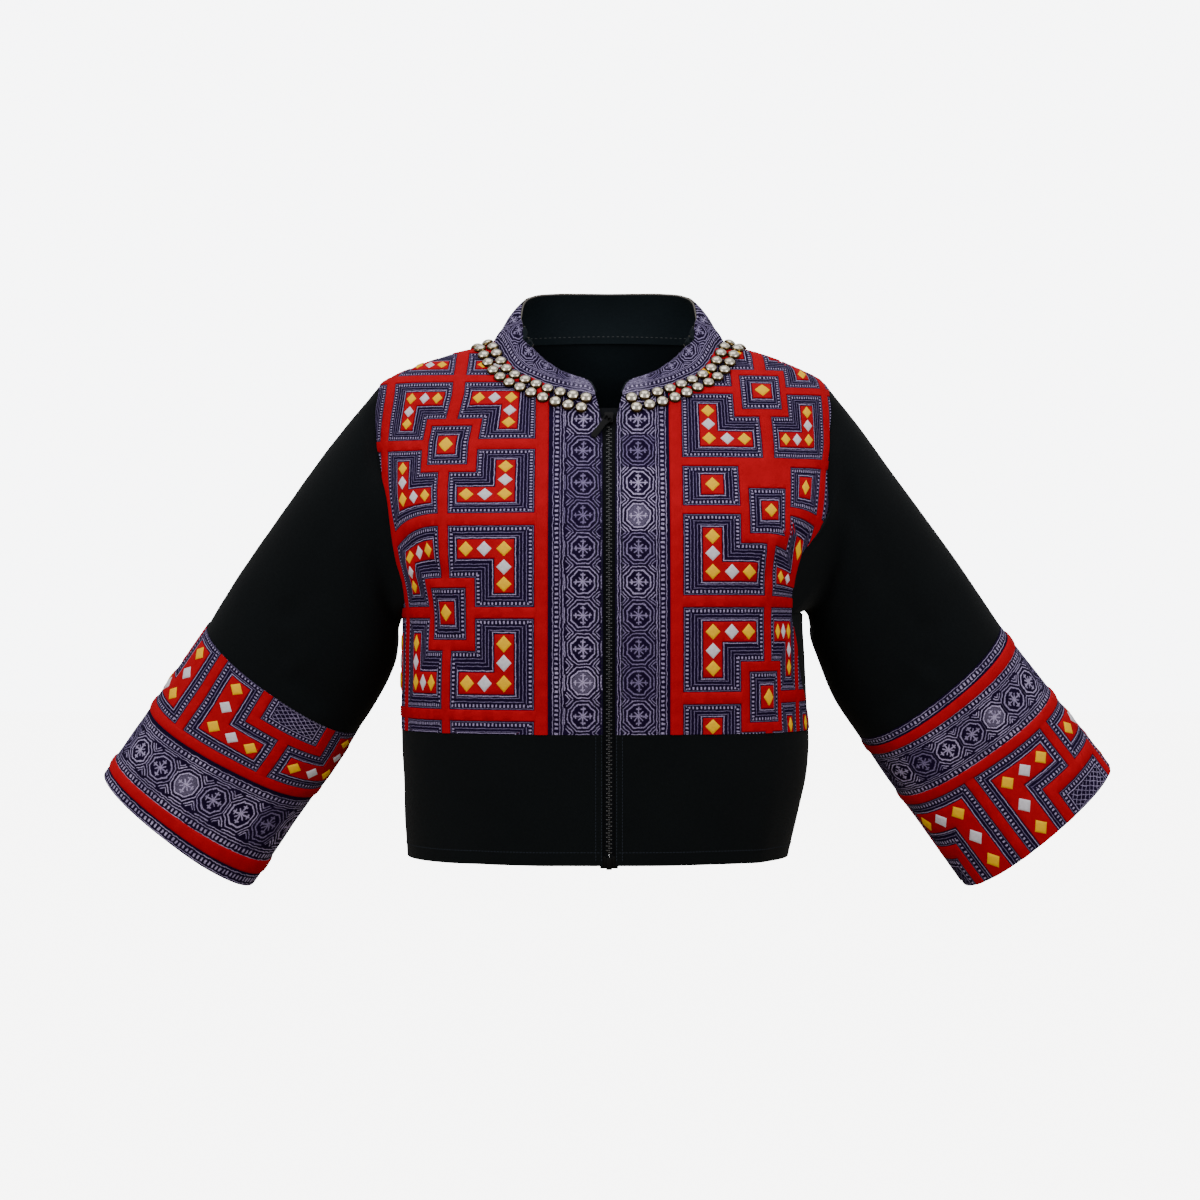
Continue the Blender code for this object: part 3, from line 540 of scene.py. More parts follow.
def front_shell(name, side, u, z, thickness, finishes):
    base, normal = front_base(side, u, z)
    lifted = base + normal * crease(base)[..., None]
    return cloth_shell(
        name, lifted, lifted - normal * thickness, np.stack([side * u, z], axis=-1), finishes
    )


for side, label in SIDES:
    z = np.concatenate([[WAIST - 0.4], np.linspace(WAIST - 3, HEM, 34)])
    near = front_edge(z)
    far = np.interp(z, CHART_Z, chart[side][1]) - 0.3
    share = np.linspace(0, 1, 60)
    u = near[:, None] + (far - near)[:, None] * share
    band = front_shell(
        f"waist_band_{label}", side, u, np.repeat(z[:, None], 60, axis=1), BLACK_CLOTH,
        [black_cotton, navy_lining],
    )
    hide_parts(f"waist_band_{label}")

# ---------------------------------------------------------------- batik front bands
# A strip of indigo batik runs down beside the zip. Wax drawn on before dyeing leaves its
# octagon medallions, the bars between them and a ladder border pale on the dark cloth.

PATTERNED_CLOTH = 2.0
TAPE_START, TAPE_WIDTH = 54, 11
NECK_CORNER_Z = -51.5
NECK_FRONT = (
    # half width, height
    (12.7, NECK_CORNER_Z), (22, -48.6), (33, -47), (45, -44.1), (57, -40.5), (69, -35), (79, -30.5),
    (87, -24.5), (92, -18), (96, -11), (101, -2), (106, 3),
)

# Wax mask: 1 where a line of wax kept the dye out.
def stroke(tree, value, centre, half, soft=0.22):
    gap = calc(tree, "ABSOLUTE", calc(tree, "SUBTRACT", value, centre))
    made = node(tree, "ShaderNodeMapRange", interpolation_type="SMOOTHSTEP")
    made.inputs["From Min"].default_value = half + soft
    made.inputs["From Max"].default_value = half - soft
    tree.links.new(gap, made.inputs["Value"])
    return made.outputs[0]


def below(tree, value, limit, soft=0.4):
    made = node(tree, "ShaderNodeMapRange", interpolation_type="SMOOTHSTEP")
    made.inputs["From Min"].default_value = limit + soft
    made.inputs["From Max"].default_value = limit - soft
    tree.links.new(value, made.inputs["Value"])
    return made.outputs[0]


def off_middle(tree, value, pitch):
    """How far a value lies from the middle of its step in a repeat, as a share of the step."""
    return calc(tree, "ABSOLUTE", calc(tree, "SUBTRACT", calc(
        tree, "FRACT", calc(tree, "DIVIDE", value, pitch)), 0.5))


def both(tree, *masks):
    result = masks[0]
    for mask in masks[1:]:
        result = calc(tree, "MULTIPLY", result, mask)
    return result


def either(tree, *masks):
    result = masks[0]
    for mask in masks[1:]:
        result = calc(tree, "MAXIMUM", result, mask)
    return result


# Unsteady hand: bends the drawn lines a little and thins the wax in places.
hand, given, wanted = new_group(
    "unsteady hand",
    [("X", "NodeSocketFloat", 0.0), ("Y", "NodeSocketFloat", 0.0)],
    [("X", "NodeSocketFloat"), ("Y", "NodeSocketFloat"), ("Wear", "NodeSocketFloat")],
)
joined = node(hand, "ShaderNodeCombineXYZ")
hand.links.new(given["X"], joined.inputs[0])
hand.links.new(given["Y"], joined.inputs[1])
for number, (name, offset) in enumerate((("X", 0.0), ("Y", 37.0))):
    moved = node(hand, "ShaderNodeVectorMath", operation="ADD")
    hand.links.new(joined.outputs[0], moved.inputs[0])
    moved.inputs[1].default_value = (offset, offset, offset)
    slow = noise(hand, moved.outputs[0], 0.16, 1)
    quick = noise(hand, moved.outputs[0], 0.55, 1)
    drift = calc(hand, "MULTIPLY_ADD", calc(hand, "SUBTRACT", slow, 0.5), 2.2, given[name])
    hand.links.new(
        calc(hand, "MULTIPLY_ADD", calc(hand, "SUBTRACT", quick, 0.5), 0.9, drift), wanted[name]
    )
patchy = noise(hand, joined.outputs[0], 0.9, 3)
hand.links.new(calc(hand, "MULTIPLY_ADD", patchy, 1.3, -0.12), wanted["Wear"])

# Octagon medallion: repeated along Y, centred across X, sizes in millimetres.
MEDALLION_PITCH = 29.5
medallion, given, wanted = new_group(
    "octagon medallion",
    [("X", "NodeSocketFloat", 0.0), ("Y", "NodeSocketFloat", 0.0),
     ("Pitch", "NodeSocketFloat", MEDALLION_PITCH), ("Seed", "NodeSocketFloat", 0.0)],
    [("Wax", "NodeSocketFloat"), ("Tone", "NodeSocketFloat")],
)
order = calc(medallion, "FLOOR", calc(medallion, "DIVIDE", given["Y"], given["Pitch"]))
within = calc(
    medallion, "MULTIPLY",
    calc(medallion, "SUBTRACT", calc(medallion, "SUBTRACT", calc(
        medallion, "DIVIDE", given["Y"], given["Pitch"]), order), 0.5), given["Pitch"],
)
ax, ay = calc(medallion, "ABSOLUTE", given["X"]), calc(medallion, "ABSOLUTE", within)
slant = calc(medallion, "MULTIPLY", calc(medallion, "ADD", ax, ay), 0.7071)
far_side, near_side = calc(medallion, "MAXIMUM", ax, ay), calc(medallion, "MINIMUM", ax, ay)
octagon = calc(medallion, "MAXIMUM", far_side, slant)
cross = calc(medallion, "ABSOLUTE", calc(medallion, "SUBTRACT", ax, ay))
drawn = either(
    medallion,
    stroke(medallion, octagon, 13.4, 0.42),
    stroke(medallion, octagon, 10.2, 0.62),
    both(medallion, below(medallion, near_side, 0.62), below(medallion, octagon, 8.2)),
    both(medallion, stroke(medallion, far_side, 6.3, 0.62), below(medallion, near_side, 2.3)),
    both(medallion, stroke(medallion, cross, 0.0, 0.75), below(medallion, slant, 5.6)),
    both(medallion, stroke(medallion, slant, 16.2, 0.40), below(medallion, cross, 6.0),
         below(medallion, ax, 15.2)),
    both(medallion, stroke(medallion, slant, 18.4, 0.40), below(medallion, cross, 4.6)),
    both(medallion, stroke(medallion, ax, 16.2, 0.40), below(medallion, ay, 7.0)),
)
dice = node(medallion, "ShaderNodeTexWhiteNoise", noise_dimensions="1D")
medallion.links.new(calc(medallion, "ADD", order, given["Seed"]), dice.inputs["W"])
cracked = both(
    medallion, calc(medallion, "GREATER_THAN", dice.outputs["Value"], 0.88), below(medallion, octagon, 9.0),
)
medallion.links.new(either(medallion, drawn, calc(medallion, "MULTIPLY", cracked, 0.24)), wanted["Wax"])
medallion.links.new(calc(medallion, "MULTIPLY_ADD", dice.outputs["Value"], 0.80, 0.36), wanted["Tone"])

# Ladder border: two rails with short rungs between them.
ladder, given, wanted = new_group(
    "ladder border",
    [("X", "NodeSocketFloat", 0.0), ("Y", "NodeSocketFloat", 0.0)],
    [("Wax", "NodeSocketFloat")],
)
step = off_middle(ladder, given["Y"], 4.1)
ladder.links.new(either(
    ladder,
    stroke(ladder, calc(ladder, "ABSOLUTE", given["X"]), 3.2, 0.28),
    both(ladder, below(ladder, calc(ladder, "ABSOLUTE", given["X"]), 1.5), below(ladder, step, 0.22, 0.07)),
), wanted["Wax"])

# Indigo dye: dark vat-dyed ground and pale waxed lines, with dye that crept under the wax.
dye, given, wanted = new_group(
    "indigo dye",
    [("Cloth", "NodeSocketVector", None), ("Wax", "NodeSocketFloat", 0.0), ("Tone", "NodeSocketFloat", 1.0),
     ("Wear", "NodeSocketFloat", 0.5), ("Shade", "NodeSocketFloat", 0.5)],
    [("Color", "NodeSocketColor")],
)
blotch = noise(dye, given["Cloth"], 90, 3)
ground = mix_colour(dye, blotch, (0.0030, 0.0004, 0.0110), (0.0088, 0.0020, 0.0300))
wax_colour = mix_colour(
    dye, calc(dye, "MULTIPLY", given["Tone"], calc(dye, "MULTIPLY_ADD", given["Wear"], 0.9, 0.25)),
    (0.034, 0.018, 0.105), (0.60, 0.51, 0.79),
)
kept = calc(dye, "MULTIPLY", given["Wax"], calc(
    dye, "MINIMUM", calc(dye, "MULTIPLY_ADD", given["Wear"], 1.5, 0.12), 1.0))
coloured = mix_colour(dye, calc(dye, "MULTIPLY", kept, 0.95), ground, wax_colour)
dulled = mix_colour(dye, 1.0, coloured, (0.5, 0.5, 0.5), "MULTIPLY")
dye.links.new(mix_colour(dye, given["Shade"], dulled, coloured), wanted["Color"])


def dyed(tree, shader, place, threads_out, wax, tone, wear):
    """Colours a cloth by its wax drawing, shaded a little by its weave."""
    shade = calc(tree, "MULTIPLY_ADD", threads_out["Shade"], 0.9, 0.35)
    colour = use_group(tree, dye, Cloth=place, Wax=wax, Tone=tone, Wear=wear, Shade=shade)["Color"]
    tree.links.new(colour, shader.inputs["Base Color"])


def batik_cloth(name, draw):
    """Batik cotton. draw takes the tree and the unsteady coordinates and gives wax and tone."""
    made, tree, shader, place, threads_out = cloth_base(name, 0.0, 0.92)
    x, y = in_mm(tree, place)
    drawn_by = use_group(tree, hand, X=x, Y=y)
    wax, tone = draw(tree, drawn_by["X"], drawn_by["Y"])
    dyed(tree, shader, place, threads_out, wax, tone, drawn_by["Wear"])
    return made


def band_design(centre, rail, seed, extra):
    def draw(tree, x, y):
        across = calc(tree, "ABSOLUTE", x)
        off = calc(tree, "SUBTRACT", across, centre)
        ring = use_group(tree, medallion, X=off, Y=y, Pitch=MEDALLION_PITCH, Seed=seed)
        rungs = use_group(tree, ladder, X=calc(tree, "SUBTRACT", across, rail), Y=y)["Wax"]
        lines = [stroke(tree, across, place, 0.32) for place in extra]
        plain = either(tree, rungs, *lines)
        inside = below(tree, calc(tree, "SUBTRACT", across, rail), -5.0)
        wax = either(tree, calc(tree, "MULTIPLY", ring["Wax"], inside), plain)
        tone = calc(tree, "MAXIMUM", calc(tree, "MULTIPLY", plain, 0.85), ring["Tone"])
        return wax, tone
    return draw


batik_right = batik_cloth("batik band right", band_design(23.0, 46.5, 3.0, (40.6,)))
batik_left = batik_cloth("batik band left", band_design(26.0, 47.5, 8.0, (7.6, 10.0, 42.0)))

for side, label, finish in ((RIGHT, "right", batik_right), (LEFT, "left", batik_left)):
    far = TAPE_START + TAPE_WIDTH / 2 - 0.3
    share = np.linspace(0, 1, 28)
    levels = np.concatenate([[0], np.linspace(-54, WAIST + 0.2, 104)])
    z = np.repeat(levels[:, None], 28, axis=1)
    edges = front_edge(np.maximum(levels, -400))
    edges[0] = front_edge(NECK_CORNER_Z)
    u = edges[:, None] + (far - edges)[:, None] * share
    z[0] = smooth(u[0], column(NECK_FRONT, 0), column(NECK_FRONT, 1)) - 0.2
    z[1:6] += (z[0] + 54) * np.linspace(0.8, 0.1, 5)[:, None] * 0.9
    piece = front_shell(f"front_band_{label}", side, u, z, PATTERNED_CLOTH, [finish, navy_lining])
    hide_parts(f"front_band_{label}")

# ---------------------------------------------------------------- red tapes beside the bands
# A folded strip of red cotton covers each join between batik band and patchwork.
# It is slip-stitched down along both edges, so it stands a little proud and puckers.

red_cotton, tree, shader, place, threads_out = cloth_base("red cotton", 0.0, 0.9, 1.4)
uneven = noise(tree, place, 70, 3)
share = calc(tree, "MULTIPLY_ADD", uneven, 0.55, calc(tree, "MULTIPLY", threads_out["Shade"], 0.35))
red = mix_colour(tree, share, (0.29, 0.0003, 0.0035), (0.54, 0.0012, 0.0100))
tree.links.new(red, shader.inputs["Base Color"])
TAPE_PROUD = 1.15


def face_out(points, faces, outward):
    """Faces turned so that the piece shows its right side along the ways out given for its points."""
    first = points[faces]
    way = np.cross(first[:, 1] - first[:, 0], first[:, 3] - first[:, 0])
    return faces[:, ::-1] if (way * outward[faces[:, 0]]).sum() < 0 else faces


def grid_piece(name, points, outward, flat, finish, tube=False):
    """A piece from one grid of points, with its right side along the ways out."""
    index = np.arange(points[..., 0].size).reshape(points.shape[:2])
    if tube:
        index = np.concatenate([index, index[:1]], axis=0)
    points = points.reshape(-1, 3)
    faces = face_out(points, quads_of(index).reshape(-1, 4), outward.reshape(-1, 3))
    return make_piece(name, points, faces, {"cloth": flat.reshape(-1, 2)}, [finish], np.zeros(len(faces)))


for side, label in SIDES:
    lines = TAPE_START + TAPE_WIDTH * np.array([0, 0.05, 0.16, 0.35, 0.65, 0.84, 0.95, 1])
    profile = np.array([0, 0.75, 1.1, 1.25, 1.25, 1.1, 0.75, 0]) * TAPE_PROUD
    profile[[0, -1]] = 0.05
    across, share = np.meshgrid(lines, np.linspace(0, 1, 130))
    top = smooth(lines, column(NECK_FRONT, 0), column(NECK_FRONT, 1)) - 1.0
    along = top[None, :] * (1 - share) + (WAIST + 0.3) * share
    lift = profile[None, :] * (1 + 0.10 * np.sin(along / 3.1) + 0.06 * np.sin(along / 1.9 + 1))
    base, normal = front_base(side, across, along)
    points = base + normal * (crease(base) + lift)[..., None]
    tape = grid_piece(f"red_tape_{label}", points, normal, np.stack([across, along], axis=-1), red_cotton)
    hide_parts(f"red_tape_{label}")

# ---------------------------------------------------------------- patchwork fronts
# Batik cloth shows between strips of red cotton: L shapes in fours round a small square.
# Each L and square has a red one inside it, with yellow and white diamonds stitched on.

# Where the flat pattern falls on each worn front. Across in columns, down in rows.
COLUMN_AT = (0, 78, 88, 166, 176, 254)
COLUMNS = {
    RIGHT: (
        # height, then how far across each column line lies
        (5, 60, 128, 140, 196, 206, 270), (-50, 66, 132, 143, 200, 210, 275),
        (-95, 66, 143, 153, 208, 218, 285), (-140, 66, 146, 156, 212, 222, 290),
        (-200, 66, 146.5, 156, 211, 220.5, 288), (-475, 66, 147, 156.5, 211, 220.5, 288),
    ),
    LEFT: (
        (5, 60, 132, 143, 196, 204, 262), (-50, 65.5, 135, 146, 200, 208, 266),
        (-95, 65.5, 139, 150, 203, 211, 268), (-160, 65.5, 142.5, 151.5, 198, 206, 262),
        (-230, 65.5, 145, 153.5, 191.5, 198.5, 252), (-475, 65.5, 145, 153, 191, 198, 252),
    ),
}
ROWS = {
    RIGHT: (
        # down the pattern, height on the jacket
        (-100, 9), (-86, 3), (-10, -31.5), (0, -38.5), (76, -92.5), (86, -102), (162, -160), (172, -171),
        (248, -243.5), (258, -253.5), (334, -334.3), (344, -344.1), (420, -420),
    ),
    LEFT: (
        (-100, 9), (-86, 3), (-10, -43), (0, -50), (76, -109.5), (86, -117.5), (126, -153.5), (136, -161),
        (212, -233), (222, -243.5), (298, -318.3), (308, -329), (384, -400),
    ),
}
# Rows of tiles: top, bottom, and the end at which the L has its corner.
TILE_ROWS = {
    RIGHT: ((-86, -10, "low"), (0, 76, "high"), (86, 162, "low"), (172, 248, "high"),
            (258, 334, "low"), (344, 420, "high")),
    LEFT: ((-86, -10, "high"), (0, 76, "low"), (86, 126, "short"), (136, 212, "low"),
           (222, 298, "high"), (308, 384, "low")),
}
RINGS = {RIGHT: (81, 253), LEFT: (-5, 131, 303)}
# Corners of an L and of the red L inside it, from its elbow.
L_OUTSIDE = ((0, 0), (78, 0), (78, 49), (53, 49), (53, 76), (0, 76))
L_INSIDE = ((17.5, 13), (69, 13), (69, 31), (35, 31), (35, 63), (17.5, 63))
SHORT_OUTSIDE = ((0, 0), (53, 0), (53, 40), (0, 40))
SHORT_INSIDE = ((17, 9), (38, 9), (38, 29), (17, 29))
SQUARE_OUTSIDE = ((-21.5, -23), (21.5, -23), (21.5, 23), (-21.5, 23))
SQUARE_INSIDE = ((-9.5, -10), (9.5, -10), (9.5, 10), (-9.5, 10))
L_DIAMONDS = ((26.2, 22, 0), (43.8, 22, 1), (60.6, 22, 0), (26.2, 39, 1), (26.2, 54.8, 0))


def turned_tile(corners, a0, b0, flip_a, flip_b):
    return [(a0 + (-a if flip_a else a), b0 + (-b if flip_b else b)) for a, b in corners]


def boxes_of(outline):
    """An outline with square corners as one or two boxes: low a, low b, high a, high b."""
    a, b = [[corner[axis] for corner in outline] for axis in (0, 1)]
    if len(outline) == 4:
        return [(min(a), min(b), max(a), max(b))]
    elbow = outline[0]
    long_arm, short_arm = outline[2], outline[4]
    return [
        (min(elbow[0], long_arm[0]), min(elbow[1], long_arm[1]),
         max(elbow[0], long_arm[0]), max(elbow[1], long_arm[1])),
        (min(elbow[0], short_arm[0]), min(elbow[1], short_arm[1]),
         max(elbow[0], short_arm[0]), max(elbow[1], short_arm[1])),
    ]


def in_boxes(a, b, boxes):
    found = np.zeros(a.shape, bool)
    for low_a, low_b, high_a, high_b in boxes:
        found |= (a > low_a) & (a < high_a) & (b > low_b) & (b < high_b)
    return found


def frame_strips(outside, inside):
    """Mitred batik strips round a red shape: points in the flat, with distances for the wax lines."""
    strips = []
    count = len(outside)
    for index in range(count):
        o0, o1 = np.array(outside[index], float), np.array(outside[(index + 1) % count], float)
        i0, i1 = np.array(inside[index], float), np.array(inside[(index + 1) % count], float)
        along = unit(o1 - o0)
        width = abs(np.cross(along, i0 - o0))
        across_steps = max(2, int(round(width / 4)))
        along_steps = max(2, int(np.linalg.norm(o1 - o0) / 5))
        share = np.linspace(0, 1, across_steps + 1)[:, None, None]
        run = np.linspace(0, 1, along_steps + 1)[None, :, None]
        grid = (o0 * (1 - run) + o1 * run) * (1 - share) + (i0 * (1 - run) + i1 * run) * share
        strips.append((grid, (grid @ along), np.broadcast_to(share[..., 0] * width, grid.shape[:2]), width))
    return strips


def ticks_and_lines(name):
    """Batik of the frames: a row of ticks at the outer edge, then lines, the last one bright."""
    made, tree, shader, place, threads_out = cloth_base(name, 0.0, 0.92)
    along, across = in_mm(tree, node(tree, "ShaderNodeUVMap", uv_map="frame").outputs[0])
    left_over, _ = in_mm(tree, node(tree, "ShaderNodeUVMap", uv_map="inner").outputs[0])
    flat_x, flat_y = in_mm(tree, place)
    drawn_by = use_group(tree, hand, X=flat_x, Y=flat_y)
    shift = calc(tree, "MULTIPLY", calc(tree, "SUBTRACT", drawn_by["X"], flat_x), 0.55)
    across = calc(tree, "ADD", across, shift)
    step = off_middle(tree, calc(tree, "ADD", along, shift), 3.5)
    ticks = both(tree, stroke(tree, across, 3.4, 1.25), below(tree, step, 0.22, 0.08))
    free = below(tree, calc(tree, "MULTIPLY", left_over, -1), -2.6)
    lines = both(tree, free, either(
        tree, stroke(tree, across, 6.7, 0.28), stroke(tree, across, 9.8, 0.30),
        stroke(tree, across, 12.8, 0.28), stroke(tree, across, 1.0, 0.22),
    ))
    bright = stroke(tree, calc(tree, "ADD", left_over, shift), 1.4, 0.42)
    wax = either(tree, ticks, lines, bright)
    tone = calc(tree, "MAXIMUM", calc(tree, "MULTIPLY", calc(tree, "MAXIMUM", ticks, bright), 0.95), 0.42)
    dyed(tree, shader, place, threads_out, wax, tone, drawn_by["Wear"])
    return made


frame_batik = ticks_and_lines("batik frames")


def stitched_diamond(name, deep, light):
    """Satin-stitched cotton: raised threads side by side across the diamond."""
    made, tree, shader, place, _ = cloth_base(name, 0.0, 0.7, 0.9)
    glint = noise(tree, place, 420, 2)
    tree.links.new(mix_colour(tree, glint, deep, light), shader.inputs["Base Color"])
    return made


yellow_thread = stitched_diamond("yellow cotton", (0.84, 0.42, 0.0), (1.0, 0.60, 0.0))
white_thread = stitched_diamond("white cotton", (0.50, 0.48, 0.55), (0.82, 0.80, 0.86))


def lines_between(low, high, marks, gap, inset=0.9):
    """Cutting lines at every edge in marks, with a line just beside each, and others at most gap apart."""
    at = {low, high}
    for mark in marks:
        for place in (mark - inset, mark, mark + inset):
            if low < place < high:
                at.add(round(place, 3))
    at = sorted(at)
    full = [at[0]]
    for place in at[1:]:
        pieces = max(1, math.ceil((place - full[-1]) / gap))
        start = full[-1]
        full += [start + (place - start) * (n + 1) / pieces for n in range(pieces)]
    return np.array(full)


def raised_cloth(reach, batik_boxes, red_boxes, to_cloth, height):
    """Red cotton left between the batik openings and inside them, edges turned under."""
    marks = batik_boxes + red_boxes
    a_lines = lines_between(reach[0], reach[2], [v for box in marks for v in (box[0], box[2])], 5)
    b_lines = lines_between(reach[1], reach[3], [v for box in marks for v in (box[1], box[3])], 5)
    mid_a, mid_b = np.meshgrid((a_lines[1:] + a_lines[:-1]) / 2, (b_lines[1:] + b_lines[:-1]) / 2)
    red = ~in_boxes(mid_a, mid_b, batik_boxes) | in_boxes(mid_a, mid_b, red_boxes)
    a, b = np.meshgrid(a_lines, b_lines)
    padded = np.pad(red, 1, mode="edge")
    whole = padded[:-1, :-1] & padded[:-1, 1:] & padded[1:, :-1] & padded[1:, 1:]
    lift = np.where(whole, height * (1 + 0.10 * np.sin(a / 2.9) * np.sin(b / 3.3)), 0.08)
    points, normal, keep_point = to_cloth(a, b, lift)
    corners = quads_of(np.arange(a.size).reshape(a.shape))
    usable = keep_point.reshape(-1)[corners].any(axis=-1)
    points = points.reshape(-1, 3)
    faces = face_out(points, corners[red & usable], normal.reshape(-1, 3))
    return points, faces, np.stack([a, b], axis=-1).reshape(-1, 2)


def tidy_piece(name, points, faces, uvs, finishes, face_finish):
    """make_piece on only the points that its faces use."""
    used, where = np.unique(faces, return_inverse=True)
    uvs = {key: np.asarray(value)[used] for key, value in uvs.items()}
    return make_piece(name, points[used], where.reshape(faces.shape), uvs, finishes, face_finish)


def frames_and_diamonds(name, tiles, diamonds, to_cloth, lift):
    """One piece of all the batik frames and one of all the diamonds of a panel."""
    points, faces, flat, along_across, inner_gap, ways = [], [], [], [], [], []
    count = 0
    for outside, inside in tiles:
        for grid, along, across, width in frame_strips(outside, inside):
            placed, normal, keep = to_cloth(grid[..., 0], grid[..., 1], np.full(grid.shape[:2], lift))
            index = count + np.arange(grid[..., 0].size).reshape(grid.shape[:2])
            quads = quads_of(index)[quads_of(keep).any(axis=-1)]
            points.append(placed.reshape(-1, 3))
            ways.append(normal.reshape(-1, 3))
            all_now = np.concatenate(points)
            faces.append(face_out(all_now, quads, np.concatenate(ways)) if len(quads) else quads)
            flat.append(grid.reshape(-1, 2))
            along_across.append(np.stack([along, across], -1).reshape(-1, 2))
            inner_gap.append(np.stack([width - across, across * 0], -1).reshape(-1, 2))
            count += grid[..., 0].size
    faces = np.concatenate(faces)
    uvs = {key: np.concatenate(value) for key, value in
           (("cloth", flat), ("frame", along_across), ("inner", inner_gap))}
    frames = tidy_piece(
        f"batik_frames_{name}", np.concatenate(points), faces, uvs, [frame_batik], np.zeros(len(faces))
    )
    points, faces, flat, finish, ways = [], [], [], [], []
    count = 0
    for a, b, kind, half_a, half_b in diamonds:
        ring = np.array([
            (-1, 0), (-0.5, -0.5), (0, -1), (0.5, -0.5), (1, 0), (0.5, 0.5), (0, 1), (-0.5, 0.5),
        ])
        local = np.concatenate([ring, ring * 0.86, ring * 0.6, [[0, 0]]])
        height = np.concatenate([np.full(8, 0.1), np.full(8, 0.75), np.full(8, 1.0), [1.05]])
        at_a, at_b = a + local[:, 0] * half_a, b + local[:, 1] * half_b
        placed, normal, keep = to_cloth(at_a, at_b, height + 0.95)
        if not keep.all():
            continue
        quads = []
        for level in (0, 8):
            for corner in range(8):
                after = (corner + 1) % 8
                quads.append((level + corner, level + after, level + 8 + after, level + 8 + corner))
        for corner in (0, 2, 4, 6):
            quads.append((16 + corner, 16 + corner + 1, 16 + (corner + 2) % 8, 24))
        points.append(placed)
        ways.append(normal)
        oriented = face_out(placed, np.array(quads), normal)
        faces.append(oriented + count)
        flat.append(np.stack([at_a, at_b], -1))
        finish += [kind] * len(quads)
        count += len(local)
    if not faces:
        return [frames]
    patches = tidy_piece(
        f"diamonds_{name}", np.concatenate(points), np.concatenate(faces),
        {"cloth": np.concatenate(flat)}, [yellow_thread, white_thread], finish,
    )
    return [frames, patches]


def neck_width(z):
    """Half width of the neck opening at the front, at each height."""
    return smooth(np.clip(z, NECK_CORNER_Z, NECK_SIDE_Z), column(NECK_FRONT, 1), column(NECK_FRONT, 0))


def front_cloth(side):
    """Gives the function that lays flat pattern coordinates on one front, kept inside its seams."""
    lines = np.array([row[1:] for row in COLUMNS[side]], float)
    heights = np.array([row[0] for row in COLUMNS[side]], float)
    lo_edge = TAPE_START + TAPE_WIDTH / 2 + 0.2

    def to_cloth(a, b, lift):
        z = np.interp(b, column(ROWS[side], 0), column(ROWS[side], 1))
        flat_z = np.clip(z, heights[-1], heights[0])
        per_line = np.stack([np.interp(-flat_z, -heights, lines[:, k]) for k in range(6)], axis=-1)
        u = np.empty(a.shape)
        for k in range(5):
            inside = (a >= COLUMN_AT[k]) if k else np.ones(a.shape, bool)
            share = (a - COLUMN_AT[k]) / (COLUMN_AT[k + 1] - COLUMN_AT[k])
            value = per_line[..., k] * (1 - share) + per_line[..., k + 1] * share
            u = np.where(inside, value, u)
        side_u = np.interp(np.clip(z, CHART_Z[0], CHART_Z[-1]), CHART_Z, chart[side][1])
        # Near the armhole the cloth drops into a soft fold, taking the pattern with it.
        near = np.clip(1 - (side_u - u) / 62, 0, 1) ** 2
        z = z - 24 * near * np.exp(-(((z + 178) / 36) ** 2))
        side_u = np.interp(np.clip(z, CHART_Z[0], CHART_Z[-1]), CHART_Z, chart[side][1]) - 0.4
        low_u = np.maximum(lo_edge, np.where(z > NECK_CORNER_Z, neck_width(z) + 0.4, 0))
        bottom = WAIST + 0.3
        keep = (u > low_u - 0.01) & (u < side_u + 0.01) & (z < 2.4) & (z > bottom - 0.01)
        z = np.clip(z, bottom, 2.4)
        u = np.clip(u, low_u, np.maximum(side_u, low_u))
        base, normal = front_base(side, u, z)
        return base + normal * (crease(base) + lift)[..., None], normal, keep

    return to_cloth


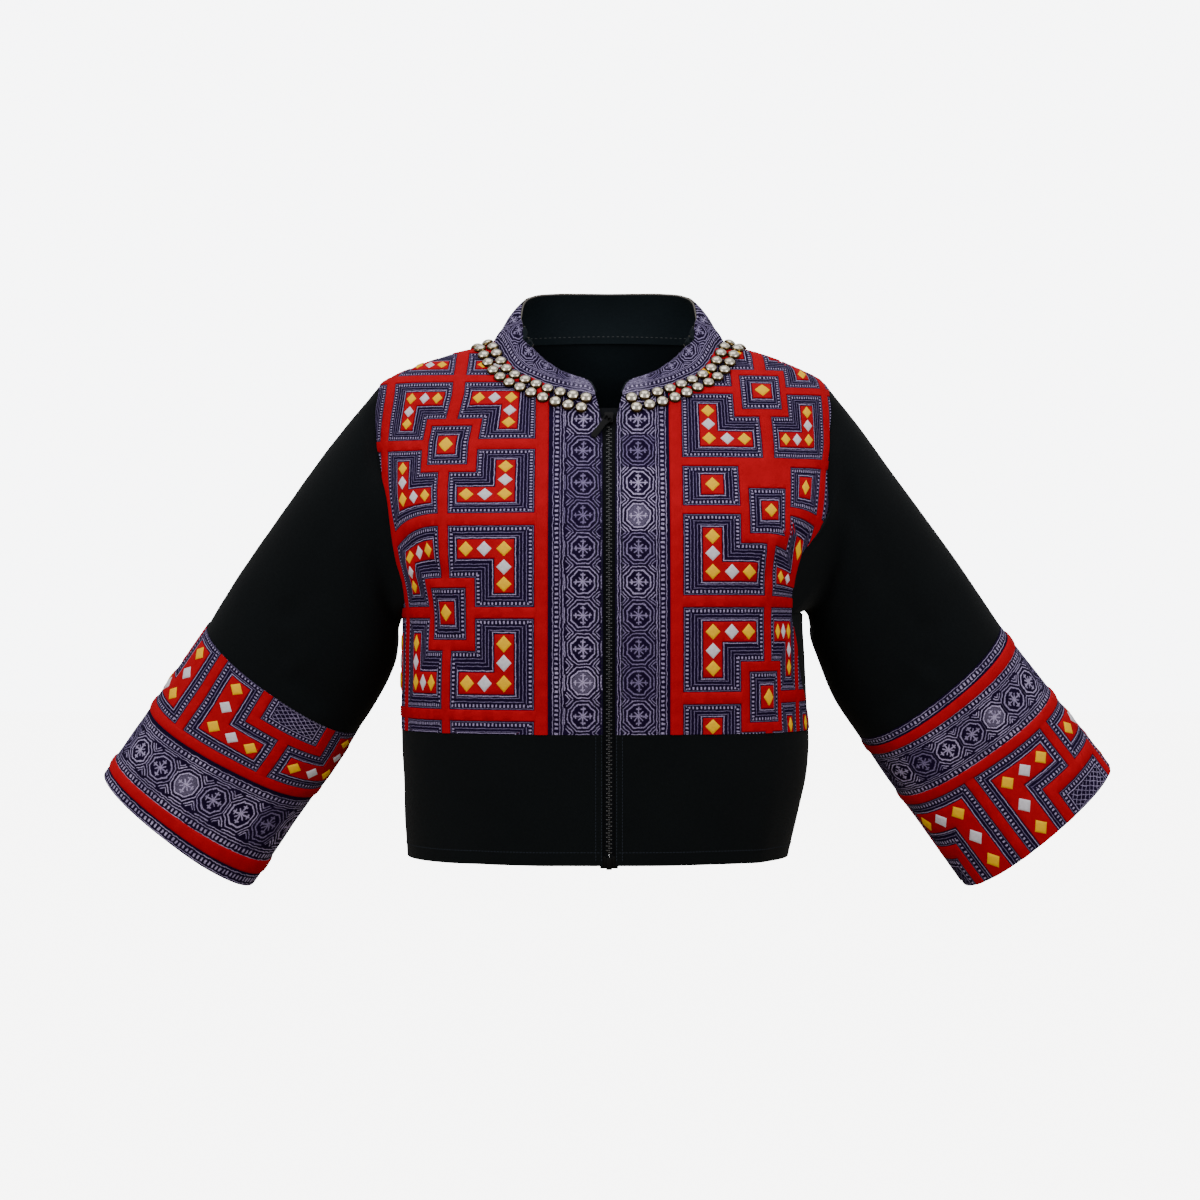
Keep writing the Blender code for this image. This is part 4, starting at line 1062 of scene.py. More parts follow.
for side, label in SIDES:
    levels = np.concatenate([np.linspace(2.3, -36, 26), np.linspace(-38, WAIST + 0.3, 130)])
    low = np.where(levels > NECK_CORNER_Z, neck_width(levels), 0) + 0.2
    low = np.maximum(low, TAPE_START + TAPE_WIDTH / 2 + 0.1)
    high = np.interp(levels, CHART_Z, chart[side][1]) - 0.2
    u = low[:, None] + (np.maximum(high, low + 0.5) - low)[:, None] * np.linspace(0, 1, 76)
    ground = front_shell(
        f"front_ground_{label}", side, u, np.repeat(levels[:, None], 76, axis=1), PATTERNED_CLOTH,
        [red_cotton, navy_lining],
    )
    tiles, diamonds = [], []
    for top, bottom, corner in TILE_ROWS[side]:
        for start, flip in ((0, False), (166, True), (176, False), (342, True)):
            b0, flip_b = (bottom, True) if corner == "low" else (top, False)
            shapes = (SHORT_OUTSIDE, SHORT_INSIDE) if corner == "short" else (L_OUTSIDE, L_INSIDE)
            tiles.append([turned_tile(shape, start, b0, flip, flip_b) for shape in shapes])
            marks = ((27.5, 19, 0),) if corner == "short" else L_DIAMONDS
            spots = turned_tile([mark[:2] for mark in marks], start, b0, flip, flip_b)
            diamonds += [(a, b, kind, 6.7, 7.1) for (a, b), (_, _, kind) in zip(spots, marks)]
    for centre_b in RINGS[side]:
        for centre_a in (83, 259):
            tiles.append([turned_tile(shape, centre_a, centre_b, False, False)
                          for shape in (SQUARE_OUTSIDE, SQUARE_INSIDE)])
            diamonds.append((centre_a, centre_b, 0, 7.0, 7.6))
    batik_boxes = [box for outside, _ in tiles for box in boxes_of(outside)]
    red_boxes = [box for _, inside in tiles for box in boxes_of(inside)]
    lay = front_cloth(side)
    points, faces, flat = raised_cloth((-2, -98, 300, 420), batik_boxes, red_boxes, lay, 1.0)
    lattice = tidy_piece(
        f"red_lattice_{label}", points, faces, {"cloth": flat}, [red_cotton], np.zeros(len(faces))
    )
    extras = frames_and_diamonds(f"front_{label}", tiles, diamonds, lay, 0.3)
    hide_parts(f"front_panel_{label}")
    cut_area = 0.0665 if side == RIGHT else 0.0555

# ---------------------------------------------------------------- sleeves
# Each sleeve is a wide straight tube of plain black cotton, sewn into the armhole.
# It has one seam under the arm, and soft folds fan out from where that seam meets the body.

SLEEVE = {
    RIGHT: (
        # along, outer x, outer z, inner x, inner z, depth, centre y, front lower by
        (28, 232, -62, 195.5, -263, 118, -2, 2), (66, 262, -100, 197, -281, 121, 0, 5),
        (112, 300, -152, 200.5, -299, 120, 3, 9), (160, 336, -203, 214, -327, 118, 7, 13),
        (215, 372, -258, 234, -358, 115, 12, 16),
    ),
    LEFT: (
        (28, 223, -65, 187.5, -262, 118, -2, 2), (66, 250, -101, 188.5, -274, 121, 0, 5),
        (112, 287, -152, 197, -296, 120, 3, 9), (160, 325, -203, 211, -329, 118, 7, 13),
        (215, 362, -257, 233, -363, 115, 12, 16),
    ),
}
RING_SQUARENESS = 2.2


def armhole_loop(side, count):
    """Armhole from the shoulder down the front and up the back, evenly spaced along it."""
    table = ARMHOLE[side]
    level = -35 - 215 * (1 - np.cos(np.linspace(0, math.pi, 260))) / 2
    front, back = (smooth(level, column(table, 0), column(table, number)) for number in (1, 2))
    angles, levels = np.concatenate([front, back[::-1]]), np.concatenate([level, level[::-1]])
    length = length_along(body_point(side, angles, levels))
    low = 260 if side == RIGHT else 260 + int(np.argmin(np.abs(level[::-1] + 225)))
    at = np.linspace(0, length[-1], count + 1)[:-1]
    angles, levels = np.interp(at, length, angles), np.interp(at, length, levels)
    edge, normal = body_point(side, angles, levels), body_normal(side, angles, levels)
    along = unit(np.roll(edge, -1, axis=0) - np.roll(edge, 1, axis=0))
    beyond = unit(np.cross(along, normal))
    beyond *= np.sign(((edge.mean(axis=0) - edge) * beyond).sum())
    turns = np.interp(at, [0, length[low], length[-1]], [0, math.pi, 2 * math.pi])
    return edge, normal, beyond, turns


def ring(side, row, turn):
    """One ring across the sleeve, from its outer end round the front."""
    _, outer_x, outer_z, inner_x, inner_z, depth, centre_y, tilt = row
    outer = np.array([side * outer_x, centre_y, outer_z], float)
    inner = np.array([side * inner_x, centre_y, inner_z], float)
    power = 2 / RING_SQUARENESS
    out = np.sign(np.cos(turn)) * np.abs(np.cos(turn)) ** power
    forward = np.sign(np.sin(turn)) * np.abs(np.sin(turn)) ** power
    across = (outer - inner) / 2
    down = np.cross(np.array([0, 1, 0]), across)
    down = unit(down if down[2] < 0 else -down)
    return (
        (outer + inner) / 2 + out[:, None] * across
        + forward[:, None] * (np.array([0, -depth / 2, 0]) + tilt * down)
    )


def rings_between(side, rows, turns, at, first=None):
    knots, values = column(rows, 0), [ring(side, row, turns) for row in rows]
    if first is not None:
        knots, values = [0] + knots, [first] + values
    return smooth(np.asarray(at, float), knots, np.array(values))


def around(grid):
    """Normals of a tube of points, pointing away from its middle."""
    across = np.roll(grid, -1, axis=1) - np.roll(grid, 1, axis=1)
    normals = unit(np.cross(np.gradient(grid, axis=0), across))
    flip = (normals * (grid - grid.mean(axis=1, keepdims=True))).sum(-1) < 0
    normals[flip] *= -1
    return normals


def start_at_seam(edge, beyond, normal, heading):
    """First row of a piece sewn to a panel's edge, and the way its wall goes in."""
    angle = np.arctan2((heading * normal).sum(-1), (heading * beyond).sum(-1))
    shift = np.clip(angle, 0, math.pi / 2)[:, None]
    turned = np.maximum(angle - math.pi / 2, -math.pi / 2)[:, None]
    outer = edge + 0.4 * (np.cos(shift) * beyond + np.sin(shift) * normal)
    return outer, unit(np.cos(turned) * beyond + np.sin(turned) * normal)


for side, label in SIDES:
    edge, normal, beyond, turns = armhole_loop(side, 132)
    near = rings_between(side, SLEEVE[side], turns, [14], edge)[0]
    start, inwards = start_at_seam(edge, beyond, normal, unit(near - edge))
    at = np.concatenate([[3, 8], np.linspace(14, 214.8, 62)])
    grid = np.concatenate([start[None], rings_between(side, SLEEVE[side], turns, at, start)])
    outward = around(grid)
    hold = np.clip(np.concatenate([[0], at]) / 26, 0, 1)[:, None, None]
    rise_way = unit(outward * hold + normal[None] * (1 - hold))
    lifted = grid + rise_way * crease(grid)[..., None]
    inward = -outward
    inward[0] = inwards
    inward[1] = unit(inward[1] + inwards)
    flat = np.stack(np.broadcast_arrays(turns[None, :] * 75, np.concatenate([[0], at])[:, None]), axis=-1)
    arm = cloth_shell(
        f"sleeve_{label}", lifted, lifted + inward * BLACK_CLOTH, flat, [black_cotton, navy_lining], tube=True
    )
    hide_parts(f"sleeve_{label}")

# ---------------------------------------------------------------- cuffs
# Each cuff is a tube of indigo batik with two red strips round it. One wide band of it is
# covered with the red and batik L shapes of the fronts; the other shows the drawn octagons.

CUFF = {
    RIGHT: (
        (0, 372, -258, 234, -358, 115, 12, 16), (58, 406, -306, 256, -393, 114, 15, 15),
        (115, 439, -352, 288, -437, 109, 19, 12), (172, 471, -397, 333, -503, 104, 23, 10),
    ),
    LEFT: (
        (0, 362, -257, 233, -363, 115, 12, 16), (55, 397, -301, 258, -400, 114, 15, 15),
        (110, 432, -345, 292, -446, 109, 19, 12), (165, 468, -391, 333, -503, 104, 23, 10),
    ),
}
CUFF_ROUND = 462
# Down each cuff: patchwork band, its red L's end of the elbow, octagon band, red strips.
CUFF_PLAN = {
    RIGHT: {
        "patch": (-1, 84), "elbow": 83, "octagons": 125, "strips": ((83.2, 93.8), (152, 162.2)),
        "edge": 167.5,
    },
    LEFT: {
        "patch": (86, 166), "elbow": 87, "octagons": 50, "strips": ((11.6, 22.9), (76.9, 87)),
        "edge": 5.6,
    },
}
# Round each cuff: where L's stand, and which of them are turned over.
CUFF_STARTS = {
    RIGHT: ((59, True), (69, False), (235, True), (-117, False), (-127, True)),
    LEFT: ((-26, False), (140, True), (150, False), (-36, True), (-202, False)),
}
CUFF_FIELDS = {RIGHT: (152, -34, 328, -210), LEFT: (57, 233, -119)}


def cuff_table(side):
    """Points and normals all over a cuff, at even steps round it and down it."""
    length = CUFF[side][-1][0]
    rows = rings_between(side, CUFF[side], np.linspace(0, 2 * math.pi, 961), np.linspace(0.2, length, 60))
    steps = np.linalg.norm(np.diff(rows, axis=1), axis=2)
    run = np.concatenate([np.zeros((60, 1)), np.cumsum(steps, axis=1)], axis=1)
    share = np.linspace(0, 1, 481)[:-1]
    grid = np.stack([
        [np.interp(share, gone / gone[-1], line[:, axis]) for gone, line in zip(run, rows)]
        for axis in range(3)
    ], axis=-1)
    return grid, around(grid), length


def cuff_cloth(side):
    """Gives the function that lays flat coordinates, round and down, on one cuff."""
    grid, normals, length = cuff_table(side)

    def to_cloth(a, b, lift):
        down = np.clip((b - 0.2) / (length - 0.2), 0, 1) * 58.999
        turn = np.mod(a / CUFF_ROUND, 1) * 480
        i, j = down.astype(int), turn.astype(int) % 480
        fi, fj = (down - i)[..., None], (turn - np.floor(turn))[..., None]
        after = (j + 1) % 480
        base, normal = (
            table[i, j] * (1 - fi) * (1 - fj) + table[i + 1, j] * fi * (1 - fj)
            + table[i, after] * (1 - fi) * fj + table[i + 1, after] * fi * fj
            for table in (grid, normals)
        )
        normal = unit(normal)
        keep = (b > -0.01) & (b < length + 0.01) & (np.abs(a) < CUFF_ROUND / 2 + 0.6)
        return base + normal * (crease(base) + lift)[..., None], normal, keep

    return to_cloth


def cuff_design(plan, pitch, seed):
    """Batik of one cuff: octagons between ladders, a ladder at the plain edge, crossed lines by the L's."""
    def draw(tree, x, y):
        middle, (low, high) = plan["octagons"], plan["patch"]
        off = calc(tree, "SUBTRACT", x, middle)
        away = calc(tree, "ABSOLUTE", off)
        octagons = use_group(tree, medallion, X=off, Y=y, Pitch=pitch, Seed=seed)
        rungs = use_group(tree, ladder, X=calc(tree, "SUBTRACT", away, 23.6), Y=y)["Wax"]
        edge = use_group(tree, ladder, X=calc(tree, "SUBTRACT", x, plan["edge"]), Y=y)["Wax"]
        band = below(tree, away, 29.5)
        plain = either(tree, rungs, stroke(tree, away, 18.3, 0.3))
        inside = below(tree, away, 17.6)
        crossed = []
        for sign in (1, -1):
            slanting = calc(tree, "ADD", x, calc(tree, "MULTIPLY", y, 0.8 * sign))
            crossed.append(stroke(tree, off_middle(tree, slanting, 5.2), 0.0, 0.06, 0.06))
        hatch = both(tree, either(tree, *crossed), stroke(tree, x, (low + high) / 2, (high - low) / 2))
        wax = either(
            tree, both(tree, band, either(tree, calc(tree, "MULTIPLY", octagons["Wax"], inside), plain)),
            both(tree, edge, stroke(tree, x, plan["edge"], 5.6)), hatch,
        )
        tone = calc(tree, "MAXIMUM", calc(tree, "MULTIPLY", either(tree, plain, edge), 0.8), octagons["Tone"])
        return wax, tone
    return draw


def cuff_tiles(side):
    plan = CUFF_PLAN[side]
    reach = 84 if side == RIGHT else 92
    outside = ((0, 0), (78, 0), (78, 43), (44, 43), (44, reach), (0, reach))
    inside = ((11.5, 11), (69, 11), (69, 30.5), (33, 30.5), (33, reach - 10), (11.5, reach - 10))
    marks = ((22, 20.5, 0), (41.5, 20.5, 1), (61, 20.5, 0), (22, 44, 1), (22, 66, 0))
    flip_b = side == RIGHT
    tiles, diamonds = [], []
    for start, flip in CUFF_STARTS[side]:
        tiles.append([turned_tile(shape, start, plan["elbow"], flip, flip_b) for shape in (outside, inside)])
        spots = turned_tile([mark[:2] for mark in marks], start, plan["elbow"], flip, flip_b)
        diamonds += [(a, b, kind, 6.9, 7.0) for (a, b), (_, _, kind) in zip(spots, marks)]
    fields = []
    low, high = (-6, 29) if side == RIGHT else (141, 171)
    for centre in CUFF_FIELDS[side]:
        fields.append([
            ((centre - half, bottom), (centre + half, bottom), (centre + half, top), (centre - half, top))
            for half, bottom, top in ((29, low, high), (21, low + 8, high - 8))
        ])
    return tiles, diamonds, fields


for side, label in SIDES:
    plan, lay = CUFF_PLAN[side], cuff_cloth(side)
    pattern = batik_cloth(f"batik cuff {label}", cuff_design(plan, 29.0 if side == RIGHT else 26.0, 12.0))
    length = CUFF[side][-1][0]
    a, b = np.meshgrid(np.linspace(-CUFF_ROUND / 2, CUFF_ROUND / 2, 155)[:-1], np.linspace(0.2, length, 58))
    outer, normal, _ = lay(a, b, np.zeros(a.shape))
    cuff = cloth_shell(
        f"cuff_{label}", outer, outer - normal * PATTERNED_CLOTH, np.stack([b, a], axis=-1),
        [pattern, navy_lining], tube=True,
    )
    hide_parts(f"cuff_{label}")
    tiles, diamonds, fields = cuff_tiles(side)
    batik_boxes = [box for outside, _ in tiles for box in boxes_of(outside)]
    batik_boxes += [box for outside, _ in fields for box in boxes_of(outside)]
    red_boxes = [box for _, inside in tiles for box in boxes_of(inside)]
    low, high = plan["patch"]
    points, faces, flat = raised_cloth(
        (-CUFF_ROUND / 2, max(low, 0.3), CUFF_ROUND / 2, min(high, length)), batik_boxes, red_boxes, lay, 1.0
    )
    lattice = tidy_piece(
        f"red_cuff_lattice_{label}", points, faces, {"cloth": flat}, [red_cotton], np.zeros(len(faces))
    )
    extras = frames_and_diamonds(f"cuff_{label}", tiles + fields, diamonds, lay, 0.3)
    for number, (low, high) in enumerate(plan["strips"], start=1):
        across = low + (high - low) * np.array([0, 0.06, 0.18, 0.5, 0.82, 0.94, 1])
        b, a = np.meshgrid(across, np.linspace(-CUFF_ROUND / 2, CUFF_ROUND / 2, 181))
        pucker = 1 + 0.10 * np.sin(a / 3.1) + 0.06 * np.sin(a / 1.7)
        points, normal, _ = lay(a, b, np.array([0.1, 0.9, 1.25, 1.4, 1.25, 0.9, 0.1]) * pucker)
        strip = grid_piece(
            f"cuff_strip_{label}_{number}", points, normal, np.stack([a, b], axis=-1), red_cotton
        )
        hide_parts(f"cuff_strip_{label}_{number}")

# ---------------------------------------------------------------- collar
# A stand collar of two batik ends and a plain black back, with a plain facing inside.
# It is seamed end to end, sewn to the neck edge and closed with a fine pale piping on top.

COLLAR_TOP = (
    # seam half width, seam side, top x, top y, top z
    (12.9, FRONT, 14, -50, -47.5), (17.5, FRONT, 17.4, -36, -40.8), (24, FRONT, 22.3, -28.5, -34.5),
    (33, FRONT, 32, -25.5, -30.2), (45, FRONT, 44.5, -20, -24.8), (57, FRONT, 52, -16.5, -19.5),
    (69, FRONT, 59, -12.5, -14.5), (79, FRONT, 65.5, -8.5, -8), (87, FRONT, 71, -6, -2),
    (92, FRONT, 75, -3, 5), (96, FRONT, 78, -1, 12), (101, FRONT, 80.3, 5, 20.5),
    (105.6, BACK, 82, 14, 32), (103, BACK, 80.5, 25, 42), (92, BACK, 72, 37, 49), (70, BACK, 52, 45.5, 52),
    (36, BACK, 27, 50, 52.6), (0, BACK, 0, 51, 52.4),
)
COLLAR_STEPS, COLLAR_JOIN = 110, 70


def neck_angle(side, x, half):
    """Angle and height of the neck seam at a distance from the centre line."""
    if half == FRONT:
        z = smooth(x, column(NECK_FRONT, 0), column(NECK_FRONT, 1))
    else:
        z = NAPE_Z - (NAPE_Z - NECK_SIDE_Z) * (np.asarray(x) / NECK_WIDTH) ** 2
    return angle_at(side, x, z, half), z


def neck_line(side):
    """Dense neck seam from the front corner to the nape: angles, heights and length along it."""
    turn = np.linspace(0, math.pi / 2, 400)
    front = neck_angle(side, NECK_FRONT[0][0] + (NECK_WIDTH - NECK_FRONT[0][0]) * np.sin(turn), FRONT)
    rear = neck_angle(side, NECK_WIDTH * np.cos(turn[1:]), BACK)
    angles, heights = (np.concatenate(pair) for pair in zip(front, rear))
    return angles, heights, length_along(body_point(side, angles, heights))


def neck_frame(side, count):
    """Even places on the neck seam: length along it, points, normals, ways past the edge, angles, heights."""
    line_angles, line_heights, length = neck_line(side)
    at = np.linspace(0, length[-1], count + 1)
    angles, heights = np.interp(at, length, line_angles), np.interp(at, length, line_heights)
    points, normals = body_point(side, angles, heights), body_normal(side, angles, heights)
    normals[-1, 0] = 0
    normals = unit(normals)
    along = unit(np.gradient(points, axis=0))
    along[-1] = (side, 0, 0)
    beyond = unit(np.cross(along, normals))
    beyond *= np.sign((beyond * -points * np.array([1, 1, 0])).sum(axis=1, keepdims=True))
    return at, points, normals, beyond, angles, heights


def collar_side(side):
    """Collar from centre front to nape: seam points, top points, ways its wall goes in, lengths."""
    line_angles, line_heights, length = neck_line(side)
    knots = []
    for x, half, *_ in COLLAR_TOP:
        angle, z = neck_angle(side, x, half)
        knots.append(length[int(np.argmin(np.abs(line_angles - angle) + np.abs(line_heights - z)))])
    at, points, normals, beyond, _, _ = neck_frame(side, COLLAR_STEPS)
    top = smooth(at, knots, [(side * x, y, z) for _, _, x, y, z in COLLAR_TOP])
    start, inwards = start_at_seam(points, beyond, normals, unit(top - points))
    return start, top, inwards, at


def open_normals(grid, away):
    normals = unit(np.cross(np.gradient(grid, axis=0), np.gradient(grid, axis=1)))
    normals[(normals * away).sum(-1) < 0] *= -1
    return normals


base, top, first_in, seam_at = (
    np.concatenate([right, left[-2::-1]]) for right, left in zip(collar_side(RIGHT), collar_side(LEFT))
)
rise = np.linspace(0, 1, 15)[:, None, None]
straight = base[None] * (1 - rise) + top[None] * rise
away = unit(straight * np.array([1, 1, 0])) + np.array([0, 0, 1])
collar_height = np.linalg.norm(top - base, axis=1)
bow = 4.5 * 4 * rise * (1 - rise) * np.clip(collar_height[None, :, None] / 34, 0, 1) ** 2
collar_grid = straight + open_normals(straight, away) * bow
ripple = 0.5 * np.sin(seam_at / 15 + 2 * rise[..., 0]) + 0.3 * np.sin(seam_at / 6.3 + 1)
collar_out = open_normals(collar_grid, away)
collar_grid = collar_grid + collar_out * (ripple * np.sin(rise[..., 0] * math.pi) ** 0.7)[..., None]
collar_in = -collar_out
collar_in[0] = first_in
collar_flat = np.stack(np.broadcast_arrays(rise[..., 0] * collar_height, seam_at[None, :]), axis=-1)


def collar_drawing(tree, x, y):
    octagons = use_group(tree, medallion, X=calc(tree, "SUBTRACT", x, 27.5), Y=calc(tree, "SUBTRACT", y, 8),
                         Pitch=30.5, Seed=20.0)
    rungs = use_group(tree, ladder, X=calc(tree, "SUBTRACT", x, 7.0), Y=y)["Wax"]
    plain = either(tree, rungs, stroke(tree, x, 12.2, 0.35), stroke(tree, x, 1.2, 0.3))
    inside = below(tree, calc(tree, "MULTIPLY", x, -1), -13.4)
    wax = either(tree, calc(tree, "MULTIPLY", octagons["Wax"], inside), plain)
    near_end = below(tree, y, 26, 10)
    tone = either(tree, calc(tree, "MULTIPLY", plain, 0.85), octagons["Tone"], near_end)
    return either(tree, wax, calc(tree, "MULTIPLY", near_end, 0.16)), tone


collar_batik = batik_cloth("batik collar", collar_drawing)
last = collar_grid.shape[1] - 1
for name, first, end, finish, slot, cut, cut_area in (
    ("collar_front_right", 0, COLLAR_JOIN, collar_batik, "batik", (0.18, 0.047), 0.0065),
    ("collar_back", COLLAR_JOIN, last - COLLAR_JOIN, navy_lining, "collar_cloth", (0.205, 0.048), 0.0088),
    ("collar_front_left", last - COLLAR_JOIN, last, collar_batik, "batik", (0.18, 0.047), 0.0065),
):
    points = collar_grid[:, first:end + 1].copy()
    points[0] -= 0.9 * unit(top - base)[first:end + 1]
    wall_in = collar_in[:, first:end + 1]
    piece = cloth_shell(
        name, points, points + wall_in * 1.4, collar_flat[:, first:end + 1], [finish, navy_lining]
    )
    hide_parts(name)
tucked = collar_grid.copy()
tucked[0] -= 2.4 * unit(top - base)
facing = cloth_shell(
    "collar_facing", tucked + collar_in * 1.7, tucked + collar_in * 2.9, collar_flat,
    [navy_lining, navy_lining],
)
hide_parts("collar_facing")

piping_cotton = plain_cotton("pale piping", (0.09, 0.080, 0.070), (0.20, 0.185, 0.165))
crest = collar_grid[-1] + collar_in[-1] * 1.5
run = unit(np.gradient(crest, axis=0))
rim_out = collar_out[-1] - (collar_out[-1] * run).sum(-1, keepdims=True) * run
rim_out = unit(rim_out)
rim_up = unit(np.cross(run, rim_out))
rim_up *= np.sign((rim_up * (top - base)).sum(-1, keepdims=True))
turn = np.linspace(0, 2 * math.pi, 8)[:-1]
bead = crest[None] + 0.95 * (
    np.cos(turn)[:, None, None] * rim_out[None] + (np.sin(turn) * 0.8 + 0.35)[:, None, None] * rim_up[None]
)
flat = np.stack(np.broadcast_arrays(turn[:, None], seam_at[None, :]), axis=-1)
piping = grid_piece("collar_piping", bead, bead - crest[None], flat, piping_cotton, tube=True)

# ---------------------------------------------------------------- studs round the neck
# Two rows of small silvery domed studs are set side by side all round, below the neck seam.
# One dome is modelled and copied. Its crown takes the silver finish and its foot a darker copy of
# it, painted shade; each is pushed through the cloth and clenched behind.

stud_silver = bpy.data.materials.new("stud silver")
stud_silver.use_nodes = True
tree = stud_silver.node_tree
shader = tree.nodes["Principled BSDF"]
shader.inputs["Metallic"].default_value = 1.0
place = node(tree, "ShaderNodeTexCoord").outputs["Object"]
worn = mix_colour(tree, noise(tree, place, 140, 3), (0.46, 0.38, 0.24), (0.82, 0.78, 0.70))
tree.links.new(worn, shader.inputs["Base Color"])
tree.links.new(calc(tree, "MULTIPLY_ADD", noise(tree, place, 260, 2), 0.20, 0.08), shader.inputs["Roughness"])
# The foot of each dome takes a darker copy of the silver finish: painted shade.
stud_foot_shade = stud_silver.copy()
stud_foot_shade.name = "stud painted shade"
tree = stud_foot_shade.node_tree
place = node(tree, "ShaderNodeTexCoord").outputs["Object"]
painted_foot_shade = mix_colour(tree, noise(tree, place, 140, 3), (0.030, 0.020, 0.008), (0.20, 0.13, 0.045))
tree.links.new(painted_foot_shade, tree.nodes["Principled BSDF"].inputs["Base Color"])

bpy.ops.object.select_all(action="DESELECT")
bpy.ops.mesh.primitive_circle_add(vertices=12, radius=5.9 * MM, fill_type="NGON", location=(0, 0, 0))
stud = bpy.context.active_object
stud.data.materials.append(stud_silver)
stud.data.materials.append(stud_foot_shade)
bpy.ops.object.mode_set(mode="EDIT")
bpy.ops.mesh.select_all(action="SELECT")
bpy.ops.mesh.extrude_region_move(TRANSFORM_OT_translate={"value": (0, 0, 0.9 * MM)})
for inset, lift in ((1.0, 1.3), (1.7, 1.15), (1.9, 0.55)):
    bpy.ops.mesh.inset(thickness=inset * MM)
    bpy.ops.transform.translate(value=(0, 0, lift * MM))
bpy.ops.object.mode_set(mode="OBJECT")
# Faces low on the dome take the darker copy: painted shade on its foot.
for face in stud.data.polygons:
    face.material_index = int(face.center.z < 1.8 * MM)
stud.data.shade_smooth()


def copies(name, model, places, body="jacket"):
    """Copies of one model, each with its own mesh, set at points with their ways across and out."""
    bpy.ops.object.select_all(action="DESELECT")
    for point, across, out in places:
        made = model.copy()
        made.data = model.data.copy()
        matrix = np.eye(4)
        matrix[:3, 0], matrix[:3, 1], matrix[:3, 2] = across, np.cross(out, across), out
        matrix[:3, 3] = np.asarray(point) * MM
        made.data.transform(Matrix(matrix.tolist()))
        bpy.context.scene.collection.objects.link(made)
        made.select_set(True)
        bpy.context.view_layer.objects.active = made
    if len(places) > 1:
        bpy.ops.object.join()
    joined = bpy.context.active_object
    joined.name = name
    joined.data.name = name
    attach(joined, body)
    return joined


def on_body(side, target, angle, z):
    """Angle and height of the point of the body nearest to a target, by a few Newton steps."""
    for _ in range(8):
        here = body_point(side, angle, z)
        turn = (body_point(side, angle + 0.3, z) - body_point(side, angle - 0.3, z)) / 0.6
        drop = (body_point(side, angle, z + 0.3) - body_point(side, angle, z - 0.3)) / 0.6
        ways = np.stack([turn, drop], axis=1)
        step = np.linalg.lstsq(ways.T @ ways + 1e-3 * np.eye(2), ways.T @ (target - here), rcond=None)[0]
        angle, z = float(angle + np.clip(step[0], -6, 6)), float(z + np.clip(step[1], -6, 6))
    return angle, z


for name, below_seam in (("stud_row_upper", 6.8), ("stud_row_lower", 18.2)):
    line = []
    for side in (RIGHT, LEFT):
        _, points, _, beyond, angles, heights = neck_frame(side, 44)
        row = []
        for number in range(45):
            target = points[number] - beyond[number] * below_seam
            angle, z = on_body(side, target, angles[number], heights[number])
            angle = 180.0 if number == 44 else angle
            row.append((body_point(side, angle, z), body_normal(side, angle, z)))
        line.append(np.array(row))
    whole = np.concatenate([line[0], line[1][-2::-1]])
    length = length_along(whole[:, 0])
    count = int((length[-1] - 11.2) / 12.0)
    at = np.linspace(5.8, length[-1] - 5.8, count + 1)
    spots, outs = ([np.interp(at, length, whole[:, part, axis]) for axis in range(3)] for part in (0, 1))
    spots, outs = np.stack(spots, axis=-1), unit(np.stack(outs, axis=-1))
    across = unit(np.gradient(spots, axis=0))
    across = unit(across - (across * outs).sum(-1, keepdims=True) * outs)
    lifted = spots + outs * (crease(spots)[:, None] + 1.35)
    row = copies(name, stud, list(zip(lifted, across, outs)))
    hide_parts(name)
bpy.data.objects.remove(stud)

# ---------------------------------------------------------------- zip
# A moulded black zip closes the front: cloth tapes sewn behind the folded edges, one row of
# teeth on each that lock into the other, and three moulded lobes that close it at the hem.


def front_line(x, heights, offset):
    """Points down the front at a distance from the centre line, moved out by an offset."""
    side = LEFT if x >= 0 else RIGHT
    heights = np.asarray(heights, float)
    angles = angle_at(side, abs(x), heights)
    base = body_point(side, angles, heights)
    return base + body_normal(side, angles, heights) * (crease(base)[..., None] + offset)


tape_cloth = plain_cotton("zip tape cloth", (0.0015, 0.0018, 0.0024), (0.0060, 0.0070, 0.0090))
levels = np.linspace(-62, -470, 70)
for side, label in SIDES:
    lines = side * np.array([0.02, 1.6, 3.2, 6, 9, 13, 16.8])
    face = np.stack([front_line(x, levels, -2.6) for x in lines], axis=1)
    rear = np.stack([front_line(x, levels, -3.4) for x in lines], axis=1)
    flat = np.stack(np.broadcast_arrays(lines[None, :], levels[:, None]), axis=-1)
    tape = cloth_shell(f"zip_tape_{label}", face, rear, flat, [tape_cloth, tape_cloth])
    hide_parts(f"zip_tape_{label}")


def moulded(name, deep, light, rough, gloss):
    made = bpy.data.materials.new(name)
    made.use_nodes = True
    tree = made.node_tree
    shader = tree.nodes["Principled BSDF"]
    shader.inputs["Specular IOR Level"].default_value = gloss
    place = node(tree, "ShaderNodeTexCoord").outputs["Object"]
    tree.links.new(mix_colour(tree, noise(tree, place, 500, 2), deep, light), shader.inputs["Base Color"])
    tree.links.new(
        calc(tree, "MULTIPLY_ADD", noise(tree, place, 900, 2), 0.2, rough), shader.inputs["Roughness"]
    )
    return made


tooth_plastic = moulded("zip tooth plastic", (0.0040, 0.0045, 0.0050), (0.016, 0.017, 0.019), 0.14, 0.6)
slider_plastic = moulded("zip slider plastic", (0.0010, 0.0010, 0.0011), (0.0030, 0.0030, 0.0033), 0.42, 0.12)


def pick(model, chosen):
    """Opens a model in edit mode with only the vertices selected that a test of their number picks."""
    bpy.ops.object.mode_set(mode="EDIT")
    bpy.ops.mesh.select_mode(type="VERT")
    bpy.ops.mesh.select_all(action="DESELECT")
    bpy.ops.object.mode_set(mode="OBJECT")
    for vertex in model.data.vertices:
        vertex.select = chosen(vertex.index)
    bpy.ops.object.mode_set(mode="EDIT")


